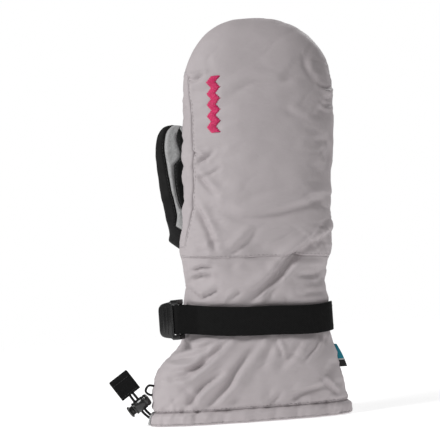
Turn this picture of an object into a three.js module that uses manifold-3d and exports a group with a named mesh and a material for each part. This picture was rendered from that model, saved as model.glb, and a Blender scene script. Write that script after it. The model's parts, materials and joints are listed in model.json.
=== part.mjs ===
// Insulated ski mitten for the right hand, standing on its open hem with the fingers up.
// Millimetres. +Z runs from the hem to the fingertips, the back of the hand faces -Y,
// the palm faces +Y, the thumb is on the -X side and the little finger on the +X side.
import * as THREE from 'three';
import Module from 'manifold-3d';
import { mergeVertices } from 'three/addons/utils/BufferGeometryUtils.js';

const wasm = await Module();
wasm.setup();

// ---- Driving dimensions -------------------------------------------------------------------

const LENGTH = 349;            // hem to fingertips
const DOME_START = 272;        // the rounded fingertip begins here
const TIP_X = 22;              // where the fingertip is highest
const TIP_CURL = 9;            // how far the fingertip curls towards the palm
const WRIST_Z = 120;           // the crease where the mitten bends
const WRIST_FLEX = 20;         // degrees each way
const WRIST_CLEARANCE = 0.5;   // each side of the crease
const WRIST_CLEARANCE_ANGLE = 1.5;
const HEM_HEIGHT = 12;         // turned-up hem that carries the draw cord
const GAP = 0.3;               // running gap between neighbouring pieces
const ROUNDNESS = 2.5;         // exponent of the superellipse cross-sections
const RING_POINTS = 22;
const DOME_RING_ANGLES = [22, 44, 64, 80];  // degrees from the dome's base to its top

// Each level: height, thumb edge, little-finger edge, back depth, palm depth, midline.
const HAND_LEVELS = [
  [0, -86, 89, 31, 31, 0],
  [34, -80, 83, 29, 29, 0],
  [50, -70, 81, 28, 28, 0],
  [66, -52, 76.5, 25, 25, 0],
  [104, -50, 77, 25, 25, 0],
  [WRIST_Z, -48, 76, 24.5, 24, 0],
  [150, -49.5, 84.5, 30, 24, 0],
  [200, -44, 88.5, 33.5, 24, 2],
  [250, -40.5, 95, 34, 24, 5],
  [DOME_START, -39, 95.5, 33, 24, 6],
].map(levelOf);
const HAND = { levels: HAND_LEVELS, domeStart: DOME_START, tip: LENGTH, tipX: TIP_X, tipY: TIP_CURL };

const THUMB_LEVELS = [
  [128, -35, -5, 8, 13, 38],
  [140, -51.5, 2.5, 11, 17, 38],
  [165, -59.5, -8.5, 11, 17.5, 36.5],
  [200, -64.5, -19.5, 11, 17, 33.5],
  [235, -66.5, -28.5, 10.5, 15, 30.5],
].map(levelOf);
const THUMB = { levels: THUMB_LEVELS, domeStart: 235, tip: 262, tipX: -51, tipY: 28 };
const THUMB_PIVOT = new THREE.Vector3(-20, 38, 150);
const THUMB_AXIS_TILT = 12;    // degrees the swing axis leans towards the thumb side
const COLLAR_RADIUS = 18;      // round root of the thumb, where it enters the palm
const COLLAR_START = -26;      // along the swing axis, measured from the pivot

// Layers, as depths below the outer skin: [outer face, inner face].
const SHELL = [0, 1.2];
const HAND_FILL = [1.6, 5.6];
const MEMBRANE = [6, 6.6];
const HAND_FLEECE = [7, 8.8];
const THUMB_FILL = [1.5, 3.2];
const THUMB_MEMBRANE = [3.5, 4];
const THUMB_FLEECE = [4.3, 5.3];
const CUFF_FILL = [1.6, 4.6];
const CUFF_FLEECE = [5, 6.6];

const WEBBING = 25.4;
const WEBBING_THICK = 1.4;
const STRAP_Z = 82.3;          // middle of the strap over the middle of the back
const STRAP_SAG = 6;           // the strap hangs this much lower than its ends
const BUCKLE_BAR = new THREE.Vector2(-56.5, -19.5);
const ANCHOR_BAR = new THREE.Vector2(-52.6, -12.2);
const BAR_RADIUS = 1.5;

const CORD_RADIUS = 1.1;
const CORD_SPACING = 1.5;      // each strand's distance from the middle
const CORD_LEAN = 34;          // degrees from upright
const CORD_START = new THREE.Vector3(-90, 0, 12);
const LOCK_AT = 8;             // along the cord from CORD_START
const TAB_AT = 20;
const TAB_LENGTH = 19;
const TAB_WIDTH = 19.5;
const BUTTON_TRAVEL = 2.8;
const LOCK_RADIUS = 5.4;

const SHELL_GREY = 0xaea7aa;
const BLACK_LEATHER = 0x2d2d2e;
const BLACK_FABRIC = 0x1d1d1e;
const LIGHT_GREY = 0xc8c8c8;
const WHITE_FILL = 0xe6e6e4;
const BLACK_PLASTIC = 0x161617;
const PINK_THREAD = 0xe6286e;
const TEAL_TAPE = 0x1f8f9c;
const SPRING_STEEL = 0x9a9a9a;

// ---- Small helpers -----------------------------------------------------------------------

function levelOf([z, thumb, little, back, palm, mid]) {
  return { z, thumb, little, back, palm, mid };
}

const radians = THREE.MathUtils.degToRad;

function solidOf(geometry) {
  geometry.deleteAttribute('normal');
  geometry.deleteAttribute('uv');
  const merged = mergeVertices(geometry, 1e-4);
  return new wasm.Manifold(new wasm.Mesh({
    numProp: 3,
    vertProperties: new Float32Array(merged.attributes.position.array),
    triVerts: new Uint32Array(merged.index.array),
  }));
}

function meshOf(name, solid, color, roughness = 0.9, metalness = 0) {
  const { vertProperties, triVerts } = solid.getMesh();
  const geometry = new THREE.BufferGeometry();
  geometry.setAttribute('position', new THREE.BufferAttribute(vertProperties, 3));
  geometry.setIndex(new THREE.BufferAttribute(triVerts, 1));
  geometry.computeVertexNormals();
  const mesh = new THREE.Mesh(geometry, new THREE.MeshStandardMaterial({ color, roughness, metalness }));
  mesh.name = name;
  return mesh;
}

function union(solids) {
  return solids.reduce((sum, next) => sum.add(next));
}

// ---- Skins: the nested hollow forms of the hand, the cuff and the thumb ----------------------

// The outline at one height, already moved in by the inset.
function levelAt(form, z, inset) {
  const { levels, domeStart, tip, tipX, tipY } = form;
  const height = Math.min(z, domeStart);
  const above = Math.max(1, levels.findIndex((level) => level.z >= height));
  const [low, high] = [levels[above - 1], levels[above]];
  const share = (height - low.z) / (high.z - low.z);
  const mix = (key) => THREE.MathUtils.lerp(low[key], high[key], share);
  const rise = Math.max(0, (z - domeStart) / (tip - inset - domeStart));
  const width = (1 - rise ** 2.3) ** (1 / 2.3);
  const depth = Math.sqrt(1 - rise ** 2);
  return {
    z,
    thumb: THREE.MathUtils.lerp(tipX, mix('thumb') + inset, width),
    little: THREE.MathUtils.lerp(tipX, mix('little') - inset, width),
    back: (mix('back') - inset) * depth,
    palm: (mix('palm') - inset) * depth,
    mid: THREE.MathUtils.lerp(mix('mid'), tipY, rise),
  };
}

// A point of a level's superellipse; angle 0 is the +X edge and 90 degrees the palm.
function ringPoint(level, angle) {
  const soften = (value) => Math.sign(value) * Math.abs(value) ** (2 / ROUNDNESS);
  const middle = (level.thumb + level.little) / 2;
  const halfWidth = (level.little - level.thumb) / 2;
  const across = soften(Math.cos(angle));
  const deep = soften(Math.sin(angle));
  const depth = deep > 0 ? level.palm : level.back;
  return new THREE.Vector3(middle + halfWidth * across, level.mid + depth * deep, level.z);
}

// A closed solid through rings of equal point count, with a fan at each end.
function loft(rings, bottom, top) {
  const count = rings[0].length;
  const points = [...rings.flat(), bottom, top];
  const bottomIndex = points.length - 2;
  const topIndex = points.length - 1;
  const faces = [];
  rings.forEach((ring, row) => {
    for (let i = 0; i < count; i += 1) {
      const here = row * count + i;
      const next = row * count + ((i + 1) % count);
      if (row === 0) {
        faces.push(bottomIndex, next, here);
      }
      if (row === rings.length - 1) {
        faces.push(topIndex, here, next);
      } else {
        faces.push(here, next, next + count, here, next + count, here + count);
      }
    }
  });
  const geometry = new THREE.BufferGeometry().setFromPoints(points);
  geometry.setIndex(faces);
  return solidOf(geometry);
}

function middleOf(level) {
  return new THREE.Vector3((level.thumb + level.little) / 2, level.mid, level.z);
}

function ringsOf(form, heights, inset, count) {
  return heights.map((z) => {
    const level = levelAt(form, z, inset);
    return Array.from({ length: count }, (_, i) => ringPoint(level, (2 * Math.PI * i) / count));
  });
}

// The solid form inside an inset skin, from a flat bottom up to its domed tip.
function skin(form, inset, bottom, count = RING_POINTS) {
  const domeHeight = form.tip - inset - form.domeStart;
  const heights = [
    bottom,
    ...form.levels.map((level) => level.z).filter((z) => z > bottom + 1),
    ...DOME_RING_ANGLES.map((angle) => form.domeStart + domeHeight * Math.sin(radians(angle))),
  ];
  const rings = ringsOf(form, heights, inset, count);
  const top = new THREE.Vector3(form.tipX, form.tipY, form.tip - inset);
  return loft(rings, middleOf(levelAt(form, bottom, inset)), top);
}

function layer([outer, inner], bottom) {
  return skin(HAND, outer, bottom).subtract(skin(HAND, inner, bottom - 2));
}

// A ring round the cuff between two heights.
function band(outer, inner, low, high) {
  const slab = (inset, from, to) => {
    const rings = ringsOf(HAND, [from, to], inset, RING_POINTS);
    return loft(rings, middleOf(levelAt(HAND, from, inset)), middleOf(levelAt(HAND, to, inset)));
  };
  return slab(outer, low, high).subtract(slab(inner, low - 1, high + 1));
}

// ---- Cutting regions -----------------------------------------------------------------------

const REACH = 400;

function box(x0, x1, y0, y1, z0, z1) {
  const geometry = new THREE.BoxGeometry(x1 - x0, y1 - y0, z1 - z0);
  geometry.translate((x0 + x1) / 2, (y0 + y1) / 2, (z0 + z1) / 2);
  return solidOf(geometry);
}

// A prism over an outline drawn in X and Z, running along Y.
function prismAlongY(outline, y0, y1) {
  const shape = new THREE.Shape(outline.map(([x, z]) => new THREE.Vector2(x, z)));
  const geometry = new THREE.ExtrudeGeometry(shape, { depth: y1 - y0, bevelEnabled: false });
  geometry.rotateX(Math.PI / 2);
  geometry.translate(0, y1, 0);
  return solidOf(geometry);
}

// A prism over an outline drawn in X and Y, running up Z.
function prismAlongZ(outline, z0, z1, holes = []) {
  const shape = new THREE.Shape(outline);
  shape.holes = holes.map((hole) => new THREE.Path(hole));
  const geometry = new THREE.ExtrudeGeometry(shape, { depth: z1 - z0, bevelEnabled: false });
  geometry.translate(0, 0, z0);
  return solidOf(geometry);
}

// A prism over an outline drawn in Y and Z, running along X.
function prismAlongX(outline, x0, x1) {
  const shape = new THREE.Shape(outline.map(([y, z]) => new THREE.Vector2(y, z)));
  const geometry = new THREE.ExtrudeGeometry(shape, { depth: x1 - x0, bevelEnabled: false });
  geometry.rotateX(Math.PI / 2);
  geometry.rotateZ(Math.PI / 2);
  geometry.translate(x0, 0, 0);
  return solidOf(geometry);
}

// A cylinder between two points.
function rod(from, to, radius, segments = 20) {
  const along = new THREE.Vector3().subVectors(to, from);
  const geometry = new THREE.CylinderGeometry(radius, radius, along.length(), segments);
  const upright = new THREE.Vector3(0, 1, 0);
  geometry.applyQuaternion(new THREE.Quaternion().setFromUnitVectors(upright, along.clone().normalize()));
  geometry.translate((from.x + to.x) / 2, (from.y + to.y) / 2, (from.z + to.z) / 2);
  return solidOf(geometry);
}

// A round tube along a curve.
function tube(curve, radius, steps, sides) {
  const circle = new THREE.Shape().absarc(0, 0, radius, 0, 2 * Math.PI);
  const options = { steps, curveSegments: sides / 2, bevelEnabled: false, extrudePath: curve };
  return solidOf(new THREE.ExtrudeGeometry(circle, options));
}

// The cuff ends in a flat top at the wrist. The hand starts above a shallow V, so that it can
// lean both ways about the wrist line without touching the cuff.
function handRegion() {
  const slope = Math.tan(radians(WRIST_FLEX + WRIST_CLEARANCE_ANGLE));
  const low = WRIST_Z + WRIST_CLEARANCE;
  const high = low + REACH * slope;
  const outline = [[0, low], [REACH, high], [REACH, REACH], [-REACH, REACH], [-REACH, high]];
  return prismAlongX(outline, -REACH, REACH);
}

function cuffRegion() {
  return box(-REACH, REACH, -REACH, REACH, -1, WRIST_Z - WRIST_CLEARANCE);
}

const palmSide = box(-REACH, REACH, GAP / 2, REACH, -REACH, REACH);
const backSide = box(-REACH, REACH, -REACH, -GAP / 2, -REACH, REACH);

// ---- Hand ----------------------------------------------------------------------------------

const SEAM_IN = 7;             // side seams lie this far in from the thumb edge
const LITTLE_RIM = 5;          // shell fabric that wraps onto the palm
const PALM_PANEL_FROM = 8;     // the panel's cut starts this far towards the palm
const GUSSET_TOP = 303;
const GUSSET_BOTTOM = 130;
const PALM_SEAM_Z = 219;
const PATCH_LOW = 187;
const PATCH_HIGH = 250;
const PANEL_TOP = 331;         // the palm panel ends here, short of the fingertips
const PANEL_HEIGHTS = [WRIST_Z, 150, 200, 250, DOME_START, 290, 308, 322, PANEL_TOP];

// The palm panel's outline in X and Z, made larger all round by the margin.
function palmOutline(margin) {
  const levels = PANEL_HEIGHTS.map((z) => levelAt(HAND, z, 0));
  const thumbLine = levels.map((level) => [level.thumb + SEAM_IN - margin, level.z + margin]);
  const littleLine = levels.map((level) => [level.little - LITTLE_RIM + margin, level.z + margin]);
  const thumbFoot = [thumbLine[0][0], 0];
  const littleFoot = [littleLine[0][0], 0];
  return [thumbFoot, ...thumbLine, ...littleLine.reverse(), littleFoot];
}

function palmPrism(margin) {
  return prismAlongY(palmOutline(margin), PALM_PANEL_FROM, REACH);
}

// The strip along the thumb edge between two heights.
function edgeStrip(low, high, margin) {
  const heights = [low - margin, ...PANEL_HEIGHTS.filter((z) => z > low && z < high), high + margin];
  const inner = heights.map((z) => [levelAt(HAND, z, 0).thumb + SEAM_IN + margin, z]);
  return prismAlongY([[-REACH, low - margin], ...inner, [-REACH, high + margin]], -REACH, REACH);
}

function thumbAxis() {
  const tilt = radians(THUMB_AXIS_TILT);
  return new THREE.Vector3(-Math.sin(tilt), Math.cos(tilt), 0);
}

function alongThumbAxis(distance) {
  return THUMB_PIVOT.clone().addScaledVector(thumbAxis(), distance);
}

function thumbHole() {
  const clearance = 1.5;
  return rod(alongThumbAxis(COLLAR_START - 8), alongThumbAxis(20), COLLAR_RADIUS + clearance);
}

function handPieces() {
  const region = handRegion();
  const hole = thumbHole();
  const handLayer = (depths) => layer(depths, WRIST_Z - 10).intersect(region);
  const outer = handLayer(SHELL);
  const fill = handLayer(HAND_FILL);
  const palm = outer.intersect(palmPrism(0)).subtract(hole);
  const above = box(-REACH, REACH, -REACH, REACH, PALM_SEAM_Z + GAP / 2, REACH);
  const below = box(-REACH, REACH, -REACH, REACH, 0, PALM_SEAM_Z - GAP / 2);
  const aroundPalm = outer.subtract(palmPrism(GAP));
  const side = aroundPalm.intersect(edgeStrip(GUSSET_BOTTOM, GUSSET_TOP, 0));
  const patch = edgeStrip(PATCH_LOW, PATCH_HIGH, 0);
  const palmSideOfPatch = box(-REACH, REACH, -GAP, REACH, 0, REACH);
  const patchRoom = edgeStrip(PATCH_LOW, PATCH_HIGH, GAP).intersect(palmSideOfPatch);
  return [
    meshOf('back_shell', aroundPalm.subtract(edgeStrip(GUSSET_BOTTOM, GUSSET_TOP, GAP)), SHELL_GREY, 0.85),
    meshOf('index_gusset', side.subtract(patchRoom), SHELL_GREY, 0.85),
    meshOf('index_patch', side.intersect(patch).intersect(palmSide), BLACK_LEATHER, 0.6),
    meshOf('palm_heel', palm.intersect(below), BLACK_LEATHER, 0.6),
    meshOf('palm_fingers', palm.intersect(above), BLACK_LEATHER, 0.6),
    meshOf('back_insulation', fill.intersect(backSide), WHITE_FILL),
    meshOf('palm_insulation', fill.intersect(palmSide).subtract(hole), WHITE_FILL),
    meshOf('hand_membrane', handLayer(MEMBRANE).subtract(hole), LIGHT_GREY, 0.4),
    meshOf('hand_lining', handLayer(HAND_FLEECE).subtract(hole), BLACK_FABRIC),
    meshOf('embroidery', embroidery(), PINK_THREAD, 0.5),
  ];
}

// A continuous zigzag of raised satin stitches up the back, near the thumb edge.
function embroidery() {
  const low = new THREE.Vector2(-10, 250);
  const high = new THREE.Vector2(-6, 298);
  const halfWidth = 3.6;
  const stroke = 3.6;
  const turns = 8;
  const raisedBy = 1.1;
  const path = Array.from({ length: turns + 1 }, (_, i) => {
    const middle = low.clone().lerp(high, i / turns);
    return [middle.x + (i % 2 ? halfWidth : -halfWidth) - stroke / 2, middle.y];
  });
  const outline = [...path, ...path.map(([x, z]) => [x + stroke, z]).reverse()];
  const raised = skin(HAND, -raisedBy, WRIST_Z).subtract(skin(HAND, -GAP, WRIST_Z - 2));
  return raised.intersect(prismAlongY(outline, -REACH, 0));
}

// ---- Thumb ---------------------------------------------------------------------------------

const STRIP_WIDTH = 8;
const THUMB_RING_POINTS = 16;

// The thumb and its round collar, which reaches in through the hole in the palm.
function thumbForm(inset, collarStart) {
  const sleeve = skin(THUMB, inset, THUMB_LEVELS[0].z + inset, THUMB_RING_POINTS);
  const collar = rod(alongThumbAxis(collarStart), alongThumbAxis(2 - inset), COLLAR_RADIUS - inset);
  return sleeve.add(collar);
}

function thumbLayer(outer, inner) {
  return thumbForm(outer, COLLAR_START).subtract(thumbForm(inner, COLLAR_START - 6));
}

// The strip of fabric along the thumb's inner edge, wrapping onto both faces.
function thumbStripRegion(margin) {
  const heights = [145, 165, 200, 235, 250];
  const line = heights.map((z) => [levelAt(THUMB, z, 0).little - STRIP_WIDTH - margin, z]);
  const low = line[0][1] - margin;
  const [topX, topZ] = line.at(-1);
  const high = topZ + margin;
  line[0][1] = low;
  return prismAlongY([...line, [topX, high], [REACH, high], [REACH, low]], 0, REACH);
}

// The seam surface that divides the thumb into its front and its back.
function thumbFrontRegion(margin) {
  const line = THUMB_LEVELS.map((level) => [level.mid - margin, level.z]);
  const start = [line[0][0], 0];
  const end = [THUMB.tipY - margin, REACH];
  return prismAlongX([start, ...line, end, [REACH, REACH], [REACH, 0]], -REACH, REACH);
}

function thumbPieces() {
  const outer = thumbLayer(...SHELL);
  const panels = outer.subtract(thumbStripRegion(GAP));
  return [
    meshOf('thumb_front', panels.intersect(thumbFrontRegion(0)), BLACK_FABRIC, 0.8),
    meshOf('thumb_back', panels.subtract(thumbFrontRegion(GAP)), BLACK_FABRIC, 0.8),
    meshOf('thumb_strip', outer.intersect(thumbStripRegion(0)), LIGHT_GREY, 0.9),
    meshOf('thumb_insulation', thumbLayer(...THUMB_FILL), WHITE_FILL),
    meshOf('thumb_membrane', thumbLayer(...THUMB_MEMBRANE), LIGHT_GREY, 0.4),
    meshOf('thumb_lining', thumbLayer(...THUMB_FLEECE), BLACK_FABRIC),
  ];
}

// ---- Cuff ----------------------------------------------------------------------------------

const CUFF_BOTTOM = HEM_HEIGHT + 0.6;
const HEM_WALL_INSIDE = 5;     // the hem's channel for the cord ends at this depth
const HEM_INSIDE = 6.2;
const CORD_EXIT_FROM = -82.5;  // where the two strands leave through the hem's wall
const ELASTIC_DEPTH = [1.6, 2.8];
const ELASTIC_HEIGHTS = [101, 112];

function hemBinding() {
  const wall = SHELL[1];
  const channel = band(wall, HEM_WALL_INSIDE, wall, HEM_HEIGHT + 2);
  return band(0, HEM_INSIDE, 0, HEM_HEIGHT).subtract(channel).subtract(cordExit());
}

function cordExit() {
  const halfWidth = CORD_RADIUS + 0.5;
  const [low, high] = [3.6, 10.4];
  return box(-REACH, CORD_EXIT_FROM, -halfWidth, halfWidth, low, high);
}

function elasticBand(margin) {
  const [outer, inner] = ELASTIC_DEPTH;
  const [low, high] = ELASTIC_HEIGHTS;
  const ring = band(outer - margin, inner + margin, low - margin, high + margin);
  const sewnEnds = 2;
  return ring.intersect(box(-REACH, REACH, sewnEnds - margin, REACH, 0, REACH));
}

function hemLabel() {
  const [width, thick, height] = [22, 0.6, 9];
  const middle = new THREE.Vector3(21, -22.2, HEM_HEIGHT / 2);
  const geometry = new THREE.BoxGeometry(width, thick, height);
  geometry.translate(middle.x, middle.y, middle.z);
  return solidOf(geometry);
}

// A tape folded in half, its two ends caught in the little-finger side seam.
function sideTag() {
  const heights = [40, 50, 60];
  const [start, length, wall] = [0.5, 8, 0.7];
  const line = (out) => heights.map((z) => [levelAt(HAND, z, 0).little + out, z]);
  const strip = (from, to) => [...line(from), ...line(to).reverse()];
  const tape = prismAlongY(strip(start, start + length), -wall - 0.2, wall + 0.2);
  return tape.subtract(prismAlongY(strip(-5, start + length - wall - 0.1), -0.2, 0.2));
}

function cuffPieces() {
  const region = cuffRegion();
  const shell = cuffLayer(SHELL).intersect(region);
  const fill = cuffLayer(CUFF_FILL).intersect(region).subtract(elasticBand(GAP));
  return [
    meshOf('cuff_back_shell', shell.intersect(backSide), SHELL_GREY, 0.85),
    meshOf('cuff_palm_shell', shell.intersect(palmSide), SHELL_GREY, 0.85),
    meshOf('cuff_insulation', fill, WHITE_FILL),
    meshOf('cuff_lining', cuffLayer(CUFF_FLEECE).intersect(region), BLACK_FABRIC),
    meshOf('wrist_elastic', elasticBand(0), WHITE_FILL),
    meshOf('hem_binding', hemBinding(), SHELL_GREY, 0.85),
    meshOf('hem_label', hemLabel(), BLACK_FABRIC),
    meshOf('side_tag', sideTag(), TEAL_TAPE),
    meshOf('wrist_strap', wristStrap(), BLACK_FABRIC, 0.75),
    meshOf('strap_anchor', strapAnchor(), BLACK_FABRIC, 0.75),
    meshOf('draw_cord', drawCord(), BLACK_FABRIC, 0.8),
    meshOf('cord_exit_tab', cordExitTab(), LIGHT_GREY),
    meshOf('cord_pull_tab', cordPullTab(), BLACK_FABRIC, 0.75),
    meshOf('cord_lock_tether', lockTether(), BLACK_FABRIC, 0.8),
  ];
}

function cuffLayer([outer, inner]) {
  return skin(HAND, outer, CUFF_BOTTOM).subtract(skin(HAND, inner, CUFF_BOTTOM - 2));
}

// ---- Wrist strap and its buckle ----------------------------------------------------------------

const STRAP_LEAVES_AT = -134;  // ring angle, degrees, where the strap leaves the cuff for the buckle
const FOLD_RADIUS = BAR_RADIUS + GAP + WEBBING_THICK / 2;

// The height that the strap's middle has at one place across the back.
function strapHeight(x) {
  const halfSpan = 75;
  const across = Math.min(Math.abs(x - 25), 72) / halfSpan;
  return STRAP_Z + STRAP_SAG * across ** 2;
}

// A flat band of webbing standing on edge, following a line drawn in X and Y.
function ribbon(line, thickness) {
  const half = thickness / 2;
  const offset = (side) => line.map((point, i) => {
    const before = line[Math.max(0, i - 1)];
    const after = line[Math.min(line.length - 1, i + 1)];
    const along = new THREE.Vector2().subVectors(after, before).normalize();
    return new THREE.Vector2(point.x - along.y * half * side, point.y + along.x * half * side);
  });
  return prismAlongZ([...offset(1), ...offset(-1).reverse()], -WEBBING / 2, WEBBING / 2);
}

function followStrapHeight(solid) {
  return solid.warp((point) => {
    point[2] += strapHeight(point[0]);
  });
}

// Points round the back of the cuff, from one ring angle to another.
function roundTheBack(outset, from, to) {
  const level = levelAt(HAND, 84, -outset);
  const steps = 14;
  return Array.from({ length: steps + 1 }, (_, i) => {
    const point = ringPoint(level, radians(THREE.MathUtils.lerp(from, to, i / steps)));
    return new THREE.Vector2(point.x, point.y);
  });
}

function arcPoints(centre, radius, from, to, steps) {
  return Array.from({ length: steps + 1 }, (_, i) => {
    const angle = radians(THREE.MathUtils.lerp(from, to, i / steps));
    return new THREE.Vector2(centre.x + radius * Math.cos(angle), centre.y + radius * Math.sin(angle));
  });
}

// Sewn at the little-finger seam, across the back, round the buckle's bar and back on itself.
function wristStrap() {
  const line = [
    ...roundTheBack(1.5, -3, STRAP_LEAVES_AT),
    ...arcPoints(BUCKLE_BAR, FOLD_RADIUS, 90, 270, 8),
    ...roundTheBack(3.4, STRAP_LEAVES_AT, -12),
  ];
  return followStrapHeight(ribbon(line, WEBBING_THICK));
}

// A slack loop of webbing round the buckle's anchor bar, sewn to the thumb-side seam.
function strapAnchor() {
  const wall = WEBBING_THICK;
  const loop = new THREE.Vector2(ANCHOR_BAR.x - 2.1, ANCHOR_BAR.y + 0.6);
  const halfStraight = 2.1;
  const inner = BAR_RADIUS + 0.7;
  const sewnAt = new THREE.Vector2(loop.x, 8);
  const rounded = (radius) => [
    ...arcPoints(new THREE.Vector2(loop.x + halfStraight, loop.y), radius, -90, 90, 6),
    ...arcPoints(new THREE.Vector2(loop.x - halfStraight, loop.y), radius, 90, 270, 6),
  ];
  const ring = prismAlongZ(rounded(inner + wall), -WEBBING / 2, WEBBING / 2, [rounded(inner)]);
  const tail = ribbon([new THREE.Vector2(loop.x, loop.y + inner + wall / 2), sewnAt], wall);
  return followStrapHeight(ring.add(tail));
}

const RAIL_THICK = 3.4;        // the buckle's two side rails
const RAIL_MARGIN = 1;         // between the webbing's edge and a rail
const KNUCKLE_RADIUS = 2.2;
const TAB_HALF_THICK = 1.3;
const TAB_END = -72;
const TAB_CORNER = 6;
const TAB_SHOULDER = 2;        // the tab is this much narrower than the rails at each side

// One side rail: a knuckle on each bar, the link between them and the arm to the tab.
function buckleRail(low, tabStart) {
  const high = low + RAIL_THICK;
  const knuckle = (bar) => rod(
    new THREE.Vector3(bar.x, bar.y, low),
    new THREE.Vector3(bar.x, bar.y, high),
    KNUCKLE_RADIUS,
    14,
  );
  const [back, front] = [BUCKLE_BAR.y - TAB_HALF_THICK, BUCKLE_BAR.y + TAB_HALF_THICK];
  const arm = box(tabStart - 1, BUCKLE_BAR.x, back, front, low, high);
  return union([knuckle(ANCHOR_BAR), knuckle(BUCKLE_BAR), arm, link(ANCHOR_BAR, BUCKLE_BAR, low, high)]);
}

function buckle() {
  const middle = strapHeight(BUCKLE_BAR.x);
  const inner = WEBBING / 2 + RAIL_MARGIN;
  const tabStart = BUCKLE_BAR.x - FOLD_RADIUS - WEBBING_THICK;
  const lowRail = middle - inner - RAIL_THICK;
  const highRail = middle + inner;
  const bars = [ANCHOR_BAR, BUCKLE_BAR].map((bar) => rod(
    new THREE.Vector3(bar.x, bar.y, lowRail + 1),
    new THREE.Vector3(bar.x, bar.y, highRail + RAIL_THICK - 1),
    BAR_RADIUS,
    14,
  ));
  const rails = [lowRail, highRail].map((low) => buckleRail(low, tabStart));
  return union([...rails, ...bars, liftTab(tabStart, lowRail, highRail + RAIL_THICK)]);
}

// A flat link between two bars, as seen from above.
function link(a, b, z0, z1) {
  const halfWidth = 1.6;
  const along = new THREE.Vector2().subVectors(b, a).normalize().multiplyScalar(halfWidth);
  const outline = [
    new THREE.Vector2(a.x - along.y, a.y + along.x),
    new THREE.Vector2(b.x - along.y, b.y + along.x),
    new THREE.Vector2(b.x + along.y, b.y - along.x),
    new THREE.Vector2(a.x + along.y, a.y - along.x),
  ];
  return prismAlongZ(outline, z0, z1);
}

// The finger tab that lifts to free the strap, with two rounded corners.
function liftTab(start, low, high) {
  const round = (z, from, to) => {
    const centre = new THREE.Vector2(TAB_END + TAB_CORNER, z);
    return arcPoints(centre, TAB_CORNER, from, to, 5).map((point) => [point.x, point.y]);
  };
  const outline = [
    [start, low],
    [start, high],
    ...round(high - TAB_CORNER - TAB_SHOULDER, 90, 180),
    ...round(low + TAB_CORNER + TAB_SHOULDER, 180, 270),
  ];
  return prismAlongY(outline, BUCKLE_BAR.y - TAB_HALF_THICK, BUCKLE_BAR.y + TAB_HALF_THICK);
}

// ---- Draw cord, cord lock and pull tab -----------------------------------------------------------

const cordLean = radians(CORD_LEAN);
const cordDirection = new THREE.Vector3(-Math.sin(cordLean), 0, Math.cos(cordLean));
const buttonDirection = new THREE.Vector3(-Math.cos(cordLean), 0, -Math.sin(cordLean));

function alongCord(distance, sideways = 0) {
  const onCord = CORD_START.clone().addScaledVector(cordDirection, distance);
  return onCord.addScaledVector(buttonDirection, sideways);
}

// Moves a solid drawn about the cord: its X is the cord and its Z points out of the button.
function placeOnCord(solid, distance) {
  const matrix = new THREE.Matrix4().makeBasis(cordDirection, new THREE.Vector3(0, 1, 0), buttonDirection);
  matrix.setPosition(alongCord(distance));
  return solid.transform([...matrix.elements]);
}

// One elastic cord: round the hem inside its channel, and out as two strands.
function drawCord() {
  const inHem = new THREE.Vector3(-82.2, 0, 5.6);
  const turn = new THREE.Vector3(-87, 0, 7);
  const strands = [-CORD_SPACING, CORD_SPACING].map((side) => {
    const turnOfStrand = new THREE.Vector3(turn.x - side / 2, 0, turn.z - side);
    const bend = new THREE.QuadraticBezierCurve3(inHem, turnOfStrand, alongCord(0.2, side));
    const end = alongCord(TAB_AT + TAB_LENGTH - 4, side);
    return tube(bend, CORD_RADIUS, 5, 10).add(rod(alongCord(0, side), end, CORD_RADIUS, 10));
  });
  const inChannel = band(1.9, 4.3, inHem.z - 1.2, inHem.z + 1.2);
  return union([inChannel, ...strands]);
}

function cordExitTab() {
  const thick = 1.1;
  const patch = box(-REACH, 0, -6, 6, 1, 11);
  return band(-thick, -GAP, 0.6, 11.4).intersect(patch).subtract(cordExit());
}

function cordPullTab() {
  const wall = 1.5;
  const room = CORD_RADIUS + GAP;
  const half = TAB_WIDTH / 2;
  const outside = box(0, TAB_LENGTH, -room - wall, room + wall, -half, half);
  const inside = box(-1, TAB_LENGTH - 2, -room, room, -half - 1, half + 1);
  return placeOnCord(outside.subtract(inside), TAB_AT);
}

// A cylinder about the lock's own axis.
function lockCylinder(low, high, radius) {
  return rod(new THREE.Vector3(0, 0, low), new THREE.Vector3(0, 0, high), radius, 24);
}

// The barrel is open at the button's end. Both it and the button have a slot for the two strands.
function lockParts() {
  const wall = 1;
  const slotLength = 40;
  const slotHalf = CORD_SPACING + CORD_RADIUS + GAP;
  const slotWide = CORD_RADIUS + GAP;
  const slot = (top) => box(-slotLength / 2, slotLength / 2, -slotWide, slotWide, -slotHalf, top);
  const openEnd = 6;
  const plungerEnd = -slotHalf - 1.2;
  const springRoom = 1.9;
  const headThick = 2.2;
  const boreEnd = plungerEnd - BUTTON_TRAVEL - springRoom;
  const boreRadius = LOCK_RADIUS - wall;
  const barrel = lockCylinder(boreEnd - wall, openEnd, LOCK_RADIUS)
    .subtract(lockCylinder(boreEnd, openEnd + 1, boreRadius))
    .subtract(slot(slotHalf));
  const headStart = openEnd + BUTTON_TRAVEL + 0.2;
  const plunger = lockCylinder(plungerEnd, headStart + 1, boreRadius - GAP)
    .add(lockCylinder(headStart, headStart + headThick, LOCK_RADIUS - GAP))
    .subtract(slot(slotHalf + BUTTON_TRAVEL));
  const spring = lockSpring(boreEnd + GAP, boreEnd + springRoom - GAP);
  const place = (solid) => placeOnCord(solid, LOCK_AT);
  return [
    meshOf('cord_lock_body', place(barrel), BLACK_PLASTIC, 0.35),
    meshOf('cord_lock_button', place(plunger), BLACK_PLASTIC, 0.35),
    meshOf('cord_lock_spring', place(spring), SPRING_STEEL, 0.3, 1),
  ];
}

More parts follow.
